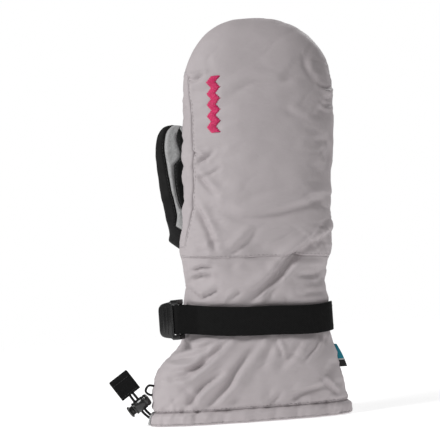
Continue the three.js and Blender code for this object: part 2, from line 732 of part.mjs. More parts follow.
// The coil, drawn pressed short so that it stays clear of the button at full travel.
function lockSpring(low, high) {
  const wire = 0.15;
  const turns = 2;
  const coilRadius = 2.6;
  const coil = new (class extends THREE.Curve {
    getPoint(share, target = new THREE.Vector3()) {
      const angle = 2 * Math.PI * turns * share;
      const height = THREE.MathUtils.lerp(low + wire, high - wire, share);
      return target.set(coilRadius * Math.cos(angle), coilRadius * Math.sin(angle), height);
    }
  })();
  return tube(coil, wire, 22, 6);
}

// A small loop of cord sewn into the cuff's side, which keeps the lock from hanging loose.
function lockTether() {
  const sewnAt = (z) => new THREE.Vector3(levelAt(HAND, z, 0).thumb - 1.6, 0, z);
  const loop = [[-86.5, 34], [-88.5, 31], [-86, 28]].map(([x, z]) => new THREE.Vector3(x, 0, z));
  return tube(new THREE.CatmullRomCurve3([sewnAt(33), ...loop, sewnAt(27)]), 1, 12, 8);
}

// ---- Assembly -----------------------------------------------------------------------------

const group = new THREE.Group();
group.add(...cuffPieces(), ...lockParts(), meshOf('buckle', buckle(), BLACK_PLASTIC, 0.3));
group.add(...handPieces(), ...thumbPieces());

// The origin is the middle of the footprint, at the height of the hem.
const bounds = new THREE.Box3().setFromObject(group);
const middle = bounds.getCenter(new THREE.Vector3());
group.children.forEach((mesh) => mesh.position.set(-middle.x, -middle.y, -bounds.min.z));

export default group;
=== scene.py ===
import json
import math

import bmesh
import bpy
import numpy as np
from mathutils import Matrix, Vector, noise


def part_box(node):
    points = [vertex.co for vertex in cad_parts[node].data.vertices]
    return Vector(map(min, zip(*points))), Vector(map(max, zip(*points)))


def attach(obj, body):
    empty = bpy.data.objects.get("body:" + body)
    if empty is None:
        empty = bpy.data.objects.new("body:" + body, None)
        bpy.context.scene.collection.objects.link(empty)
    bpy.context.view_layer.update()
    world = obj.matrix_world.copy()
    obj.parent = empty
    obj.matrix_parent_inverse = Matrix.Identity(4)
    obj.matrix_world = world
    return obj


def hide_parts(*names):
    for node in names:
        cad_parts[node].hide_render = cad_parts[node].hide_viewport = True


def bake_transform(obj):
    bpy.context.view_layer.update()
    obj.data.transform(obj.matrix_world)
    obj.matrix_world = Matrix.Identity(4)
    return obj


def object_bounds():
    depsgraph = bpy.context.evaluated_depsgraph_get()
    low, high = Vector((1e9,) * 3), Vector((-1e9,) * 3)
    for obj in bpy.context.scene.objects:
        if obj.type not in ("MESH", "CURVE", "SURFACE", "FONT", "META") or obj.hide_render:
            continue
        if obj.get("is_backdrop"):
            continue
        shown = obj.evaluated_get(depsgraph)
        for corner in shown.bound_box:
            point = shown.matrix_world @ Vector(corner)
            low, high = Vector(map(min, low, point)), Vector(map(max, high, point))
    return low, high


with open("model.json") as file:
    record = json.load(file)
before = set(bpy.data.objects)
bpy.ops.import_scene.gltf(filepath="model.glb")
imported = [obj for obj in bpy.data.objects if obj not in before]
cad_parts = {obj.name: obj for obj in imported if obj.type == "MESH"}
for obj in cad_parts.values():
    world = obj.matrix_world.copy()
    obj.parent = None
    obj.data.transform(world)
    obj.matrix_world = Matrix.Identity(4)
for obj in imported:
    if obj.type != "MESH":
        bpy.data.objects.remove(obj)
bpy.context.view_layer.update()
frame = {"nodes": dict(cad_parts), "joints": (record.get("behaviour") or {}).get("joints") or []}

MM = 0.001

# ---- Measures taken from the frame ---------------------------------------------------------------

SKIN_NODES = ("hem_binding", "cuff_back_shell", "cuff_palm_shell", "back_shell",
              "index_gusset", "index_patch", "palm_heel", "palm_fingers")
THUMB_NODES = ("thumb_front", "thumb_back", "thumb_strip")
HEM_HEIGHT = 12.0
WRIST = 120.0            # the wrist hinge, and the crease that the elastic pulls in
DOME_START = 272.0       # above this the outlines close towards the fingertip
ROUNDNESS = 2.5          # exponent of the superellipse that every outline follows
TIP_ROUNDNESS = 2.3      # the same for the fingertip's dome, seen from the back

# Heights at which the CAD skin is measured, and how the fabric stands off it there.
SKIN_LEVELS = (0.5, 11.5, 34, 50, 66, 104, 119, 150, 175, 200, 225, 250, 271.5)
CUFF_FLARE = {0.5: 1.5, 34: 2.5, 50: 6.0, 66: 7.5}    # wider on the thumb side, by height
CUFF_END = 100.0
PALM_TRIM = 1.6          # narrower on the little-finger side, above the cuff

# The thumb's root at each height: how far its outer and inner edges lie from the hand's thumb
# edge, how far its front bulges, and the Y of its midline. The last outer edge meets the CAD thumb.
THUMB_ROOT_LEVELS = [
    (129, 24.0, 46.0, 4.0, -1.0),
    (133, 19.0, 50.0, 7.0, 2.5),
    (138, 14.0, 52.0, 10.5, 8.0),
    (144, 8.0, 52.0, 15.0, 14.0),
    (149, 2.5, 50.5, 16.5, 19.0),
    (153, -4.0, 49.6, 17.0, 22.0),
    (158, None, 49.0, 17.3, 24.0),
]
ROOT_DEPTH = 20.0        # how deep the root reaches into the palm
THUMB_WIDENED = {165.0: 5.0, 180.0: 3.0, 200.0: 1.0, 234.5: 0.0}    # on its inner side, by height
THUMB_DOME = 235.0


def corner(node, which):
    """A corner of a node's box in mm: 0 is the lowest, 1 the highest."""
    return np.array(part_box(node)[which]) / MM


def centre(node):
    return (corner(node, 0) + corner(node, 1)) / 2


def node_points(node):
    mesh = frame["nodes"][node].data
    points = np.empty(len(mesh.vertices) * 3, np.float32)
    mesh.vertices.foreach_get("co", points)
    edges = np.empty(len(mesh.edges) * 2, np.int32)
    mesh.edges.foreach_get("vertices", edges)
    return points.reshape(-1, 3).astype(float) / MM, edges.reshape(-1, 2)


def outline_of(nodes, z):
    """Thumb edge, little-finger edge, back, palm and midline of the CAD skin at one height."""
    found = []
    for node in nodes:
        points, edges = node_points(node)
        a, b = points[edges[:, 0]], points[edges[:, 1]]
        crossing = ((a[:, 2] - z) * (b[:, 2] - z) <= 0) & (np.abs(a[:, 2] - b[:, 2]) > 1e-6)
        a, b = a[crossing], b[crossing]
        share = (z - a[:, 2]) / (b[:, 2] - a[:, 2])
        found.append(a + share[:, None] * (b - a))
    ring = np.concatenate(found)
    thumb, little = ring[:, 0].min(), ring[:, 0].max()
    middle = ring[ring[:, 0] < thumb + 0.1, 1].mean()
    return thumb, little, middle - ring[:, 1].min(), ring[:, 1].max() - middle, middle


class Form:
    """A mitten or thumb shape: outlines at some heights, and a dome up to the tip above them."""

    def __init__(self, heights, outlines, dome_start, tip):
        self.heights = np.array(heights, float)
        self.outlines = np.array(outlines, float)
        self.slopes = np.gradient(self.outlines, self.heights, axis=0)
        self.dome_start = dome_start
        self.tip = tip

    def level(self, z, inset=0.0):
        """Arrays of thumb edge, little edge, back, palm and midline for an array of heights."""
        low = np.clip(z, self.heights[0], self.dome_start)
        i = np.clip(np.searchsorted(self.heights, low) - 1, 0, len(self.heights) - 2)
        step = self.heights[i + 1] - self.heights[i]
        t = ((low - self.heights[i]) / step)[..., None]
        a, b = self.outlines[i], self.outlines[i + 1]
        da, db = self.slopes[i] * step[..., None], self.slopes[i + 1] * step[..., None]
        curve = (a * (1 + 2 * t) * (1 - t) ** 2 + b * t * t * (3 - 2 * t)
                 + da * t * (1 - t) ** 2 - db * t * t * (1 - t))
        thumb, little, back, palm, middle = np.moveaxis(curve, -1, 0)
        rise = np.clip((z - self.dome_start) / (self.tip[2] - inset - self.dome_start), 0, 1)
        wide = (1 - rise ** TIP_ROUNDNESS) ** (1 / TIP_ROUNDNESS)
        deep = np.sqrt(1 - rise ** 2)
        return (self.tip[0] + (thumb + inset - self.tip[0]) * wide,
                self.tip[0] + (little - inset - self.tip[0]) * wide,
                (back - inset) * deep, (palm - inset) * deep,
                middle + (self.tip[1] - middle) * rise)

    def point(self, z, angle, inset=0.0):
        """A point of the outline at a height. Angle 0 is the little edge and 90 degrees the palm."""
        thumb, little, back, palm, middle = self.level(z, inset)
        across = np.sign(np.cos(angle)) * np.abs(np.cos(angle)) ** (2 / ROUNDNESS)
        deep = np.sign(np.sin(angle)) * np.abs(np.sin(angle)) ** (2 / ROUNDNESS)
        x = (thumb + little) / 2 + (little - thumb) / 2 * across
        y = middle + np.where(deep > 0, palm, back) * deep
        return np.stack([x, y, z + 0 * angle], -1)

    def angle_at(self, z, x):
        """The angle on the palm side at which the outline passes x."""
        thumb, little = self.level(z)[:2]
        across = (x - (thumb + little) / 2) / np.maximum((little - thumb) / 2, 1e-6)
        across = np.clip(across, -1, 1)
        return np.arccos(np.sign(across) * np.abs(across) ** (ROUNDNESS / 2))


def highest_point(node):
    points = node_points(node)[0]
    return points[points[:, 2].argmax()]


def hand_form():
    outlines = [list(outline_of(SKIN_NODES, z)) for z in SKIN_LEVELS]
    for outline, z in zip(outlines, SKIN_LEVELS):
        outline[0] -= CUFF_FLARE.get(z, 0.0)
        outline[1] -= PALM_TRIM if z > CUFF_END else 0.0
    return Form(SKIN_LEVELS, outlines, DOME_START, highest_point("back_shell"))


def thumb_form(hand):
    """The root's outlines rise out of the palm; above them the CAD thumb is followed."""
    levels = {z: outline_of(THUMB_NODES, z) for z in THUMB_WIDENED}
    free_edge = levels[min(levels)][0] - 0.5
    heights, outlines = [], []
    for z, outer, inner, front, middle in THUMB_ROOT_LEVELS:
        edge = hand.level(np.array(float(z)))[0]
        left = free_edge if outer is None else edge + outer
        heights.append(z)
        outlines.append((left, edge + inner, ROOT_DEPTH, front, middle))
    for z, (thumb, little, *depths) in levels.items():
        heights.append(z)
        outlines.append((thumb, little + THUMB_WIDENED[z], *depths))
    return Form(heights, outlines, THUMB_DOME, highest_point("thumb_front"))


HAND = hand_form()
THUMB = thumb_form(HAND)

# ---- Grids: rows run up the mitten and columns run round it --------------------------------------

SEAM_IN = 7.0            # seams on the thumb side lie this far in from the edge
LITTLE_RIM = 5.0         # the back fabric wraps this far onto the palm
PALM_TOP = 337.0         # the palm's fabric ends here, and the back's wraps over the tip
GUSSET = (130.0, 303.0)  # heights of the strip beside the index finger
PATCH = (187.0, 250.0)   # and of the grip patch in it
PALM_SEAM = 219.0        # between the palm's heel and finger panels
SPACING = 1.45           # between the rows of the grid


def smooth(t):
    t = np.clip(t, 0, 1)
    return t * t * (3 - 2 * t)


def rows_through(stops, form):
    """Heights in even steps through the stops, closing in on the tip as a quarter circle does."""
    start, dome = form.dome_start, form.tip[2] - form.dome_start

    def length(z):
        return z if z <= start else start + dome * math.asin(min(1, (z - start) / dome))

    def height(run):
        return run if run <= start else start + dome * math.sin((run - start) / dome)

    heights = [stops[0]]
    for low, high in zip(stops, stops[1:]):
        a, b = length(low), length(high)
        count = max(1, round((b - a) / SPACING))
        heights += [height(a + (b - a) * i / count) for i in range(1, count)] + [high]
    return np.array(heights)


def columns_between(bounds, counts):
    """Angles of every column at every row, even between each pair of bounds."""
    spans = []
    for a, b, count in zip(bounds, bounds[1:], counts):
        share = np.arange(count) / count
        spans.append(a[:, None] + (b - a)[:, None] * share)
    return np.concatenate(spans, axis=1)


def normals_of(points):
    """Outward normals of a grid that closes round its columns."""
    around = np.roll(points, -1, 1) - np.roll(points, 1, 1)
    up = np.gradient(points, axis=0)
    normal = np.cross(around, up)
    return normal / np.maximum(np.linalg.norm(normal, axis=-1, keepdims=True), 1e-9)


def arc_lengths(points, axis):
    """Running length along the columns of a row (axis 1) or the rows of a column (axis 0)."""
    steps = np.linalg.norm(np.diff(points, axis=axis), axis=-1)
    zero = np.zeros_like(np.take(steps, [0], axis))
    return np.cumsum(np.concatenate([zero, steps], axis), axis)


def ring_faces(rows, count, closed=False):
    """Quads between rows of points that close round their columns. Closed: the last row meets the first."""
    total = rows * count
    starts = range(0, total if closed else total - count, count)
    return [(a + i, a + (i + 1) % count, (a + count) % total + (i + 1) % count, (a + count) % total + i)
            for a in starts for i in range(count)]


def end_faces(rows, count):
    """The faces that close the first and the last of such rows."""
    return [tuple(range(count))[::-1], tuple(range((rows - 1) * count, rows * count))]


def wobble(points, size, seed):
    """Smooth noise in -1 to 1 with features of about the given size."""
    flat = (points.reshape(-1, 3) / size + seed * 17.3).tolist()
    return np.array([noise.noise(p) for p in flat]).reshape(points.shape[:-1])


# ---- Folds and seams -----------------------------------------------------------------------------

def spline(stops, steps=10):
    """A Catmull-Rom curve through the stops."""
    p = np.array(stops, float)
    p = np.concatenate([[2 * p[0] - p[1]], p, [2 * p[-1] - p[-2]]])
    out = []
    for a, b, c, d in zip(p, p[1:], p[2:], p[3:]):
        t = np.linspace(0, 1, steps, endpoint=False)[:, None]
        out.append(0.5 * (2 * b + (c - a) * t + (2 * a - 5 * b + 4 * c - d) * t ** 2
                          + (3 * b - a - 3 * c + d) * t ** 3))
    return np.concatenate(out + [p[-2:-1]])


FOLD_STRENGTH = 1.35
RIDGE = (0.75, 1.9, 1.3)    # the ridge's height, distance and spread, as shares of the valley's


def fold_depth(flat, line, width, depth):
    """How far a fold along a line moves each point of a flat face: a valley with a ridge beside it."""
    starts, steps = line[:-1], np.diff(line, axis=0)
    lengths = np.linalg.norm(steps, axis=1)
    along = np.concatenate([[0], np.cumsum(lengths)])
    best = np.full(len(flat), 1e9)
    side = np.zeros(len(flat))
    place = np.zeros(len(flat))
    for start, step, length, run in zip(starts, steps, lengths, along):
        offset = flat - start
        t = np.clip(offset @ step / length ** 2, 0, 1)
        gap = offset - t[:, None] * step
        distance = np.hypot(gap[:, 0], gap[:, 1])
        nearer = distance < best
        best = np.where(nearer, distance, best)
        side = np.where(nearer, np.sign(step[0] * offset[:, 1] - step[1] * offset[:, 0]), side)
        place = np.where(nearer, (run + t * length) / along[-1], place)
    taper = np.sin(np.pi * np.clip(place * 0.9 + 0.05, 0, 1)) ** 0.7
    signed = best * side
    high, away, spread = RIDGE
    valley = -np.exp(-(signed / width) ** 2)
    ridge = high * np.exp(-((signed - away * width) / (spread * width)) ** 2)
    return FOLD_STRENGTH * depth * taper * (valley + ridge)


def folds_on_form(flat, form, folds):
    """The depth that a list of folds gives to the (x, z) points of one face of a form."""
    total = np.zeros(len(flat))
    for width, depth, stops in folds:
        share, z = np.array(stops, float).T
        thumb, little = form.level(z)[:2]
        line = spline(np.stack([thumb + (little - thumb) * share, z], 1))
        total += fold_depth(flat, line, width, depth)
    return total


# Each fold: its width, its depth, and stops of (share across from the thumb edge, height).
# A negative depth turns the valley into a ridge. The ridge beside a fold lies to its left.
BACK_FOLDS = [
    (4.0, 3.4, [(0.40, 101), (0.57, 115), (0.69, 129), (0.77, 140), (0.89, 150), (0.99, 156)]),
    (3.0, -1.6, [(0.50, 100), (0.64, 114), (0.76, 131), (0.85, 144)]),
    (2.2, 2.4, [(0.54, 99), (0.59, 108), (0.68, 117)]),
    (3.0, 1.9, [(0.34, 145), (0.43, 156), (0.49, 164)]),
    (2.6, 1.5, [(0.24, 147), (0.19, 160)]),
    (1.8, 2.2, [(0.04, 131), (0.13, 134.5), (0.21, 134)]),
    (1.8, 2.0, [(0.03, 124), (0.13, 128), (0.19, 127)]),
    (1.8, 2.6, [(0.01, 117), (0.11, 109.5), (0.16, 110.5), (0.25, 115)]),
    (2.2, 1.4, [(0.78, 104), (0.88, 107), (0.99, 106)]),
    (1.8, 1.6, [(0.05, 71), (0.10, 66), (0.16, 66), (0.24, 71)]),
    (2.8, 3.6, [(0.32, 70), (0.28, 62), (0.23, 52), (0.17, 44), (0.10, 42)]),
    (1.8, 1.2, [(0.02, 57), (0.08, 59), (0.15, 60), (0.22, 65)]),
    (3.0, 3.7, [(0.52, 66), (0.48, 56), (0.44, 45), (0.39, 32), (0.28, 16)]),
    (2.5, 3.0, [(0.36, 44), (0.27, 33), (0.20, 20), (0.16, 12)]),
    (3.2, 1.3, [(0.64, 69), (0.60, 59), (0.57, 46)]),
    (3.0, 1.4, [(0.80, 68), (0.74, 56), (0.66, 44)]),
    (1.7, 1.5, [(0.58, 12), (0.63, 19), (0.66, 24)]),
    (2.4, 2.2, [(0.69, 15), (0.77, 22), (0.89, 26)]),
    (2.0, 2.0, [(0.88, 32), (0.91, 25), (0.95, 17)]),
    (2.6, 1.2, [(0.12, 38), (0.18, 31), (0.24, 18)]),
    (4.0, 1.3, [(0.31, 281), (0.40, 287), (0.49, 289), (0.63, 288), (0.74, 292), (0.85, 288)]),
    (2.8, 0.9, [(0.66, 265), (0.70, 261), (0.77, 257)]),
    (2.0, 1.7, [(0.07, 222), (0.13, 228), (0.20, 233)]),
    (2.4, 1.8, [(0.07, 218), (0.14, 207), (0.22, 196)]),
    (4.0, 1.9, [(0.28, 185), (0.36, 177), (0.45, 174), (0.58, 176), (0.74, 180), (0.96, 188)]),
    (3.0, -0.9, [(0.43, 186), (0.55, 190), (0.74, 194)]),
    (2.8, 2.1, [(0.06, 192), (0.12, 180), (0.17, 168), (0.22, 155)]),
    (2.8, 1.6, [(0.97, 168), (0.89, 160), (0.83, 150)]),
    (2.8, 0.9, [(0.84, 309), (0.83, 298), (0.88, 286)]),
    (1.8, 1.0, [(0.91, 273), (0.99, 273)]),
    (2.4, 0.9, [(0.93, 240), (0.97, 228), (0.95, 214)]),
    (1.5, 1.8, [(0.99, 284), (0.95, 282), (0.90, 284)]),
    (1.5, 1.5, [(0.99, 268), (0.94, 267), (0.90, 269)]),
    (1.8, 2.0, [(0.02, 300), (0.07, 297), (0.13, 300)]),
    (1.6, 1.4, [(0.02, 236), (0.09, 232), (0.15, 226)]),
    (1.6, 1.2, [(0.08, 212), (0.16, 214), (0.25, 219)]),
    (1.7, 1.6, [(0.98, 124), (0.90, 121), (0.80, 123)]),
    (1.7, 1.5, [(0.01, 104), (0.09, 102), (0.17, 104)]),
    (1.6, 1.5, [(0.30, 104), (0.36, 110), (0.44, 113)]),
    (1.5, 1.4, [(0.62, 70), (0.66, 61), (0.68, 52)]),
    (1.6, 1.5, [(0.92, 70), (0.88, 60), (0.80, 50)]),
    (1.6, 1.6, [(0.03, 52), (0.12, 48), (0.22, 50), (0.30, 56)]),
]
PALM_FOLDS = [
    (2.2, 3.2, [(0.53, 13), (0.52, 32), (0.49, 47), (0.48, 73), (0.49, 92)]),
    (2.2, 3.2, [(0.88, 58), (0.85, 69), (0.78, 81), (0.69, 94)]),
    (2.2, 3.2, [(0.13, 50), (0.22, 72), (0.31, 94)]),
    (3.0, 2.6, [(0.20, 25), (0.29, 41), (0.35, 58), (0.41, 66)]),
    (2.0, 2.0, [(0.20, 34), (0.13, 44), (0.04, 48)]),
    (2.4, 2.0, [(0.97, 36), (0.97, 48), (0.93, 60)]),
    (2.8, 2.2, [(0.92, 38), (0.80, 35), (0.67, 32)]),
    (2.0, 2.2, [(0.66, 56), (0.64, 64), (0.62, 84)]),
    (1.6, 1.4, [(0.54, 84), (0.57, 96)]),
    (1.8, 2.4, [(0.18, 79), (0.07, 77), (0.01, 67)]),
    (1.6, 1.4, [(0.25, 104), (0.21, 99), (0.13, 96)]),
    (1.6, 1.3, [(0.44, 86), (0.47, 96)]),
    (1.6, 1.3, [(0.40, 96), (0.37, 86)]),
    (3.0, 2.6, [(0.65, 120), (0.63, 138), (0.56, 162), (0.54, 180)]),
    (2.2, 0.9, [(0.72, 146), (0.66, 144)]),
    (3.6, 1.5, [(0.74, 273), (0.62, 276), (0.50, 276)]),
    (3.4, 1.4, [(0.70, 286), (0.58, 290), (0.42, 295)]),
    (3.2, 1.2, [(0.62, 303), (0.50, 304), (0.36, 302)]),
    (3.2, 1.1, [(0.80, 180), (0.72, 188), (0.66, 200)]),
    (3.0, 1.0, [(0.86, 240), (0.78, 246), (0.70, 256)]),
]


def hand_folds(points, on_palm):
    """The folds of both faces of the hand and cuff."""
    moved = np.zeros(points.shape[:-1])
    for face, folds in ((~on_palm, BACK_FOLDS), (on_palm, PALM_FOLDS)):
        moved[face] = folds_on_form(points[face][:, [0, 2]], HAND, folds)
    return moved


def seam_groove(distance, depth, width):
    """Fabric dips into a seam and rolls up beside it."""
    roll = np.exp(-((distance - 2.6 * width) / (1.5 * width)) ** 2)
    return depth * (0.5 * roll - np.exp(-(distance / width) ** 2))


def puckers(distance, along, reach, seed):
    """Small ruffles that a seam pulls into the fabric, fading away from it."""
    place = np.stack([along / 5.0, distance / 22.0, np.full_like(along, seed * 3.7)], -1)
    return wobble(place, 1.0, seed) * np.exp(-distance / reach)


# ---- Hand and cuff skin --------------------------------------------------------------------------

WEBBING_WIDTH = 25.4
STRAP_LOW, STRAP_HIGH = corner("wrist_strap", 0), corner("wrist_strap", 1)
STRAP_SAG = STRAP_HIGH[2] - STRAP_LOW[2] - WEBBING_WIDTH
STRAP_LOWEST_X = (STRAP_LOW[0] + STRAP_HIGH[0]) / 2 + 14
STRAP_REACH = 72.0       # from its lowest place to the buckle
BUCKLE_LIFT = 3.6        # how much higher the strap sits away from the little finger


def strap_height(x):
    """The height of the strap's middle line: lowest over the middle of the back."""
    across = np.minimum(np.abs(x - STRAP_LOWEST_X), STRAP_REACH) / STRAP_REACH
    lift = BUCKLE_LIFT * smooth((STRAP_HIGH[0] - 8 - x) / 50)
    return STRAP_LOW[2] + WEBBING_WIDTH / 2 + lift + STRAP_SAG * across ** 2


# Heights that lie on whole rows, and the number of columns from each seam to the next.
ROW_STOPS = [0, HEM_HEIGHT, WRIST, GUSSET[0], PATCH[0], PALM_SEAM, PATCH[1], DOME_START,
             GUSSET[1], PALM_TOP, HAND.tip[2]]
COLUMN_COUNTS = (8, 8, 106, 7, 92)
THUMB_EDGE, BACK_SEAM, LITTLE_EDGE, PALM_RIGHT, COLUMNS = np.cumsum(COLUMN_COUNTS)

BACK_LIFT, LIFT_FALL = 25.0, 9.0     # the wrist seam's rise over the back, and its fall across it
PALM_DROP, THUMB_DROP = 24.0, 33.0   # how much lower it runs over the palm and its thumb side
TURN_OVER = 22.0                     # degrees in which it changes from one to the other
LIFT_FROM, LIFT_TO = 62.0, 196.0     # heights between which the grid is shifted with it


def wrist_lift(angle):
    """How far the wrist seam runs above the crease: high over the back, low over the palm."""
    turn = np.degrees(angle)
    back = BACK_LIFT - LIFT_FALL * np.clip((turn - 180) / 180, 0, 1)
    palm = smooth((turn - 360) / TURN_OVER) - smooth((turn - 540 + TURN_OVER) / TURN_OVER)
    thumb_side = smooth((180 - turn) / TURN_OVER)
    return back - palm * PALM_DROP - thumb_side * THUMB_DROP


def lifted_heights(z, angle):
    rising = np.clip((z - LIFT_FROM) / (WRIST - LIFT_FROM), 0, 1)
    falling = np.clip((LIFT_TO - z) / (LIFT_TO - WRIST), 0, 1)
    bump = np.sin(np.pi / 2 * np.minimum(rising, falling)) ** 2
    return z + wrist_lift(angle) * bump


def skin_grid():
    """Base points of the whole skin, with the seams on whole columns and rows."""
    heights = rows_through(ROW_STOPS, HAND)
    palm_tip = (HAND.tip[0], HAND.tip[1], PALM_TOP)
    palm = Form(HAND.heights, HAND.outlines, DOME_START, np.array(palm_tip))
    thumb, little = palm.level(heights)[:2]
    share_left = 1 - np.clip((heights - DOME_START) / (PALM_TOP - DOME_START), 0, 1)
    inset = smooth(share_left * 3)
    left = HAND.angle_at(heights, thumb + SEAM_IN * inset)
    right = HAND.angle_at(heights, little - LITTLE_RIM * inset)
    bulge = np.sin(np.pi * np.clip((heights - GUSSET[0]) / (GUSSET[1] - GUSSET[0]), 0, 1))
    seam_in = SEAM_IN * (0.4 + 0.75 * bulge)
    back_seam = 2 * np.pi - HAND.angle_at(heights, HAND.level(heights)[0] + seam_in)
    half_turn = np.full_like(heights, np.pi)
    bounds = [left, half_turn, back_seam, 2 * half_turn, right + 2 * np.pi, left + 2 * np.pi]
    angle = columns_between(bounds, COLUMN_COUNTS)
    warped = lifted_heights(heights[:, None] + 0 * angle, angle)
    return heights, angle, HAND.point(warped, angle)


def row_at(heights, z):
    return int(np.argmin(np.abs(heights - z)))


def column_distance(lengths, column):
    """Distance round each row from one column, the short way."""
    total = lengths[:, -1:] + SPACING
    gap = np.abs(lengths - lengths[:, column:column + 1])
    return np.minimum(gap, total - gap)


def between(z, low, high, soft=3.0):
    return smooth((z - low) / soft) * smooth((high - z) / soft)


def seam_line(distance, along, groove, reach, ruffle, seed, width=1.5):
    """A seam's groove with its puckers, where distance is measured from the seam."""
    return groove * seam_groove(distance, 1.0, width) + ruffle * puckers(distance, along, reach, seed)


def column_seams(rows, around, upward):
    """Seams that run up the mitten: (column, where it is sewn, depth of its groove)."""
    hand = between(rows, WRIST, 400, 1)
    cuff = 1 - hand
    beside_palm = hand * between(rows, WRIST, PALM_TOP + 1)
    seams = [
        (0, beside_palm, 1.0),
        (BACK_SEAM, between(rows, GUSSET[0], GUSSET[1], 14.0), 0.6),
        (PALM_RIGHT, beside_palm, 0.9),
        (THUMB_EDGE, cuff + between(rows, PATCH[0], PATCH[1]), 0.8),
        (LITTLE_EDGE, cuff, 0.9),
    ]
    total = np.zeros_like(rows)
    for seed, (column, where, groove) in enumerate(seams):
        distance = column_distance(around, column)
        total += where * seam_line(distance, upward, groove, 6.0, 0.9, seed + 1)
    return total


def row_seams(on_palm, around, upward):
    """Seams that run round the mitten: (height, where it is sewn, depth, reach of its puckers)."""
    everywhere = np.ones_like(upward)
    columns = np.arange(COLUMNS)[None, :] * everywhere
    thumb_side = columns < BACK_SEAM
    seams = [
        (WRIST, np.where(on_palm, 1.0, 0.25), 1.1, 8.0),
        (HEM_HEIGHT, everywhere, 1.3, 7.0),
        (PALM_SEAM, columns >= PALM_RIGHT, 0.4, 3.0),
        (GUSSET[1], thumb_side, 0.3, 4.0),
        (GUSSET[0], thumb_side, 0.3, 4.0),
    ]
    total = np.zeros_like(upward)
    for seed, (height, where, groove, reach) in enumerate(seams):
        distance = np.abs(upward - upward[row_at(HEIGHTS, height)][None, :])
        total += where * seam_line(distance, around, groove, reach, 0.9, seed + 11)
    return total


def under_strap(points):
    """1 where the strap presses on the back of the cuff, fading to 0 beside it."""
    z = points[..., 2]
    reach = WEBBING_WIDTH / 2 + 4
    on_back = smooth((HAND.level(z)[4] - points[..., 1] - 3) / 6)
    return between(z - strap_height(points[..., 0]), -reach, reach, 5) * on_back


UNEVEN = ((0.7, 34.0), (0.35, 13.0))    # how far the fabric wanders, and how wide its swells are
HEM_ROLL = 0.9           # how far the hem's channel stands out
STRAP_FLATTENS = 0.9     # the share of the folds that the strap presses flat
STRAP_PINCH = 1.1


def skin_depths(angle, points):
    """Everything that moves the skin off its base form, in mm along the normal."""
    rows = HEIGHTS[:, None] + 0 * angle
    around = arc_lengths(points, 1)
    upward = arc_lengths(points, 0)
    on_palm = np.sin(angle) > 0
    depth = hand_folds(points, on_palm)
    depth += column_seams(rows, around, upward) + row_seams(on_palm, around, upward)
    depth += gathers(points, around, on_palm) + creases(points, rows, on_palm)
    depth += sum(height * wobble(points, width, seed + 3) for seed, (height, width) in enumerate(UNEVEN))
    depth += HEM_ROLL * np.sin(np.pi * np.clip(rows / HEM_HEIGHT, 0, 1))
    pressed = under_strap(points)
    depth = depth * (1 - STRAP_FLATTENS * pressed) - STRAP_PINCH * pressed
    closed = rows[:, PALM_RIGHT:] > PALM_TOP - 0.1
    depth[:, PALM_RIGHT:] = np.where(closed, depth[:, :1], depth[:, PALM_RIGHT:])
    return np.where(rows > HAND.tip[2] - 1, 0, depth)


# Each family of creases: its direction in degrees, length, width, depth and height range.
CREASES = [
    (8, 34.0, 11.0, 0.55, 90, 190),
    (38, 30.0, 10.0, 0.60, -20, 160),
    (-30, 26.0, 9.0, 0.45, -20, 150),
    (-6, 40.0, 16.0, 0.40, 150, 400),
    (24, 38.0, 14.0, 0.35, 160, 400),
]


def creases(points, rows, on_palm):
    """Fine sharp creases: dense over the cuff and the wrist, sparse over the fingers."""
    x, _, z = np.moveaxis(points, -1, 0)
    side = np.where(on_palm, 50.0, 0.0)
    nylon = np.where(on_palm, between(rows, -5, WRIST, 6), 1.0)
    total = np.zeros_like(z)
    for seed, (turn, length, width, depth, low, high) in enumerate(CREASES):
        c, s = math.cos(math.radians(turn)), math.sin(math.radians(turn))
        place = np.stack([(x * c + z * s) / length, (z * c - x * s) / width, side], -1)
        line = np.exp(-(wobble(place, 1.0, seed + 41) / 0.10) ** 2)
        patches = smooth(wobble(points, 30.0, seed + 61) * 2.2 + 0.35)
        total -= depth * line * patches * between(z, low, high, 25)
    return total * nylon


PLEAT = 5.6              # width of the gathers over the wrist elastic
WRIST_WIDTH = 115.0


def ruffle(across, z, width, height, seed):
    """Noise in upright folds of the given width and height."""
    return wobble(np.stack([across / width, z / height, 0 * z], -1), 1.0, seed)


def gathers(points, around, on_palm):
    """Ruffles over the wrist elastic, and over the hem's draw cord."""
    x, _, z = np.moveaxis(points, -1, 0)
    thumb, little = HAND.level(z)[:2]
    across = (x - thumb) / np.maximum(little - thumb, 1) * WRIST_WIDTH
    drift = ruffle(across, z, 14.0, 45.0, 9)
    pleats = np.sin(2 * np.pi * (across / PLEAT + 0.9 * drift)) * between(z, 94, 119, 8)
    long_pleats = np.sin(2 * np.pi * (across / (2.6 * PLEAT) + 1.3 * drift)) * between(z, 70, 116, 16)
    patchy = 0.7 + 0.8 * ruffle(across, z, 8.0, 10.0, 10)
    pleated = patchy * (1.15 * pleats + 1.3 * long_pleats)
    crumpled = 1.8 * ruffle(across, z, 3.4, 13.0, 5) + 2.6 * ruffle(around, z, 7.5, 26.0, 6) - 0.6
    hem = 1.3 * ruffle(around, z, 4.2, 16.0, 7) + 1.6 * ruffle(around, z, 7.5, 26.0, 8)
    wrist = pleated + crumpled * between(z, 92, 116, 9)
    return on_palm * wrist + hem * between(z, -6, 22, 10)


HEIGHTS, ANGLES, BASE = skin_grid()
BASE_NORMALS = normals_of(BASE)
DEPTHS = skin_depths(ANGLES, BASE)

# ---- Cloth simulation: the sewn bag settles over its filling -------------------------------------

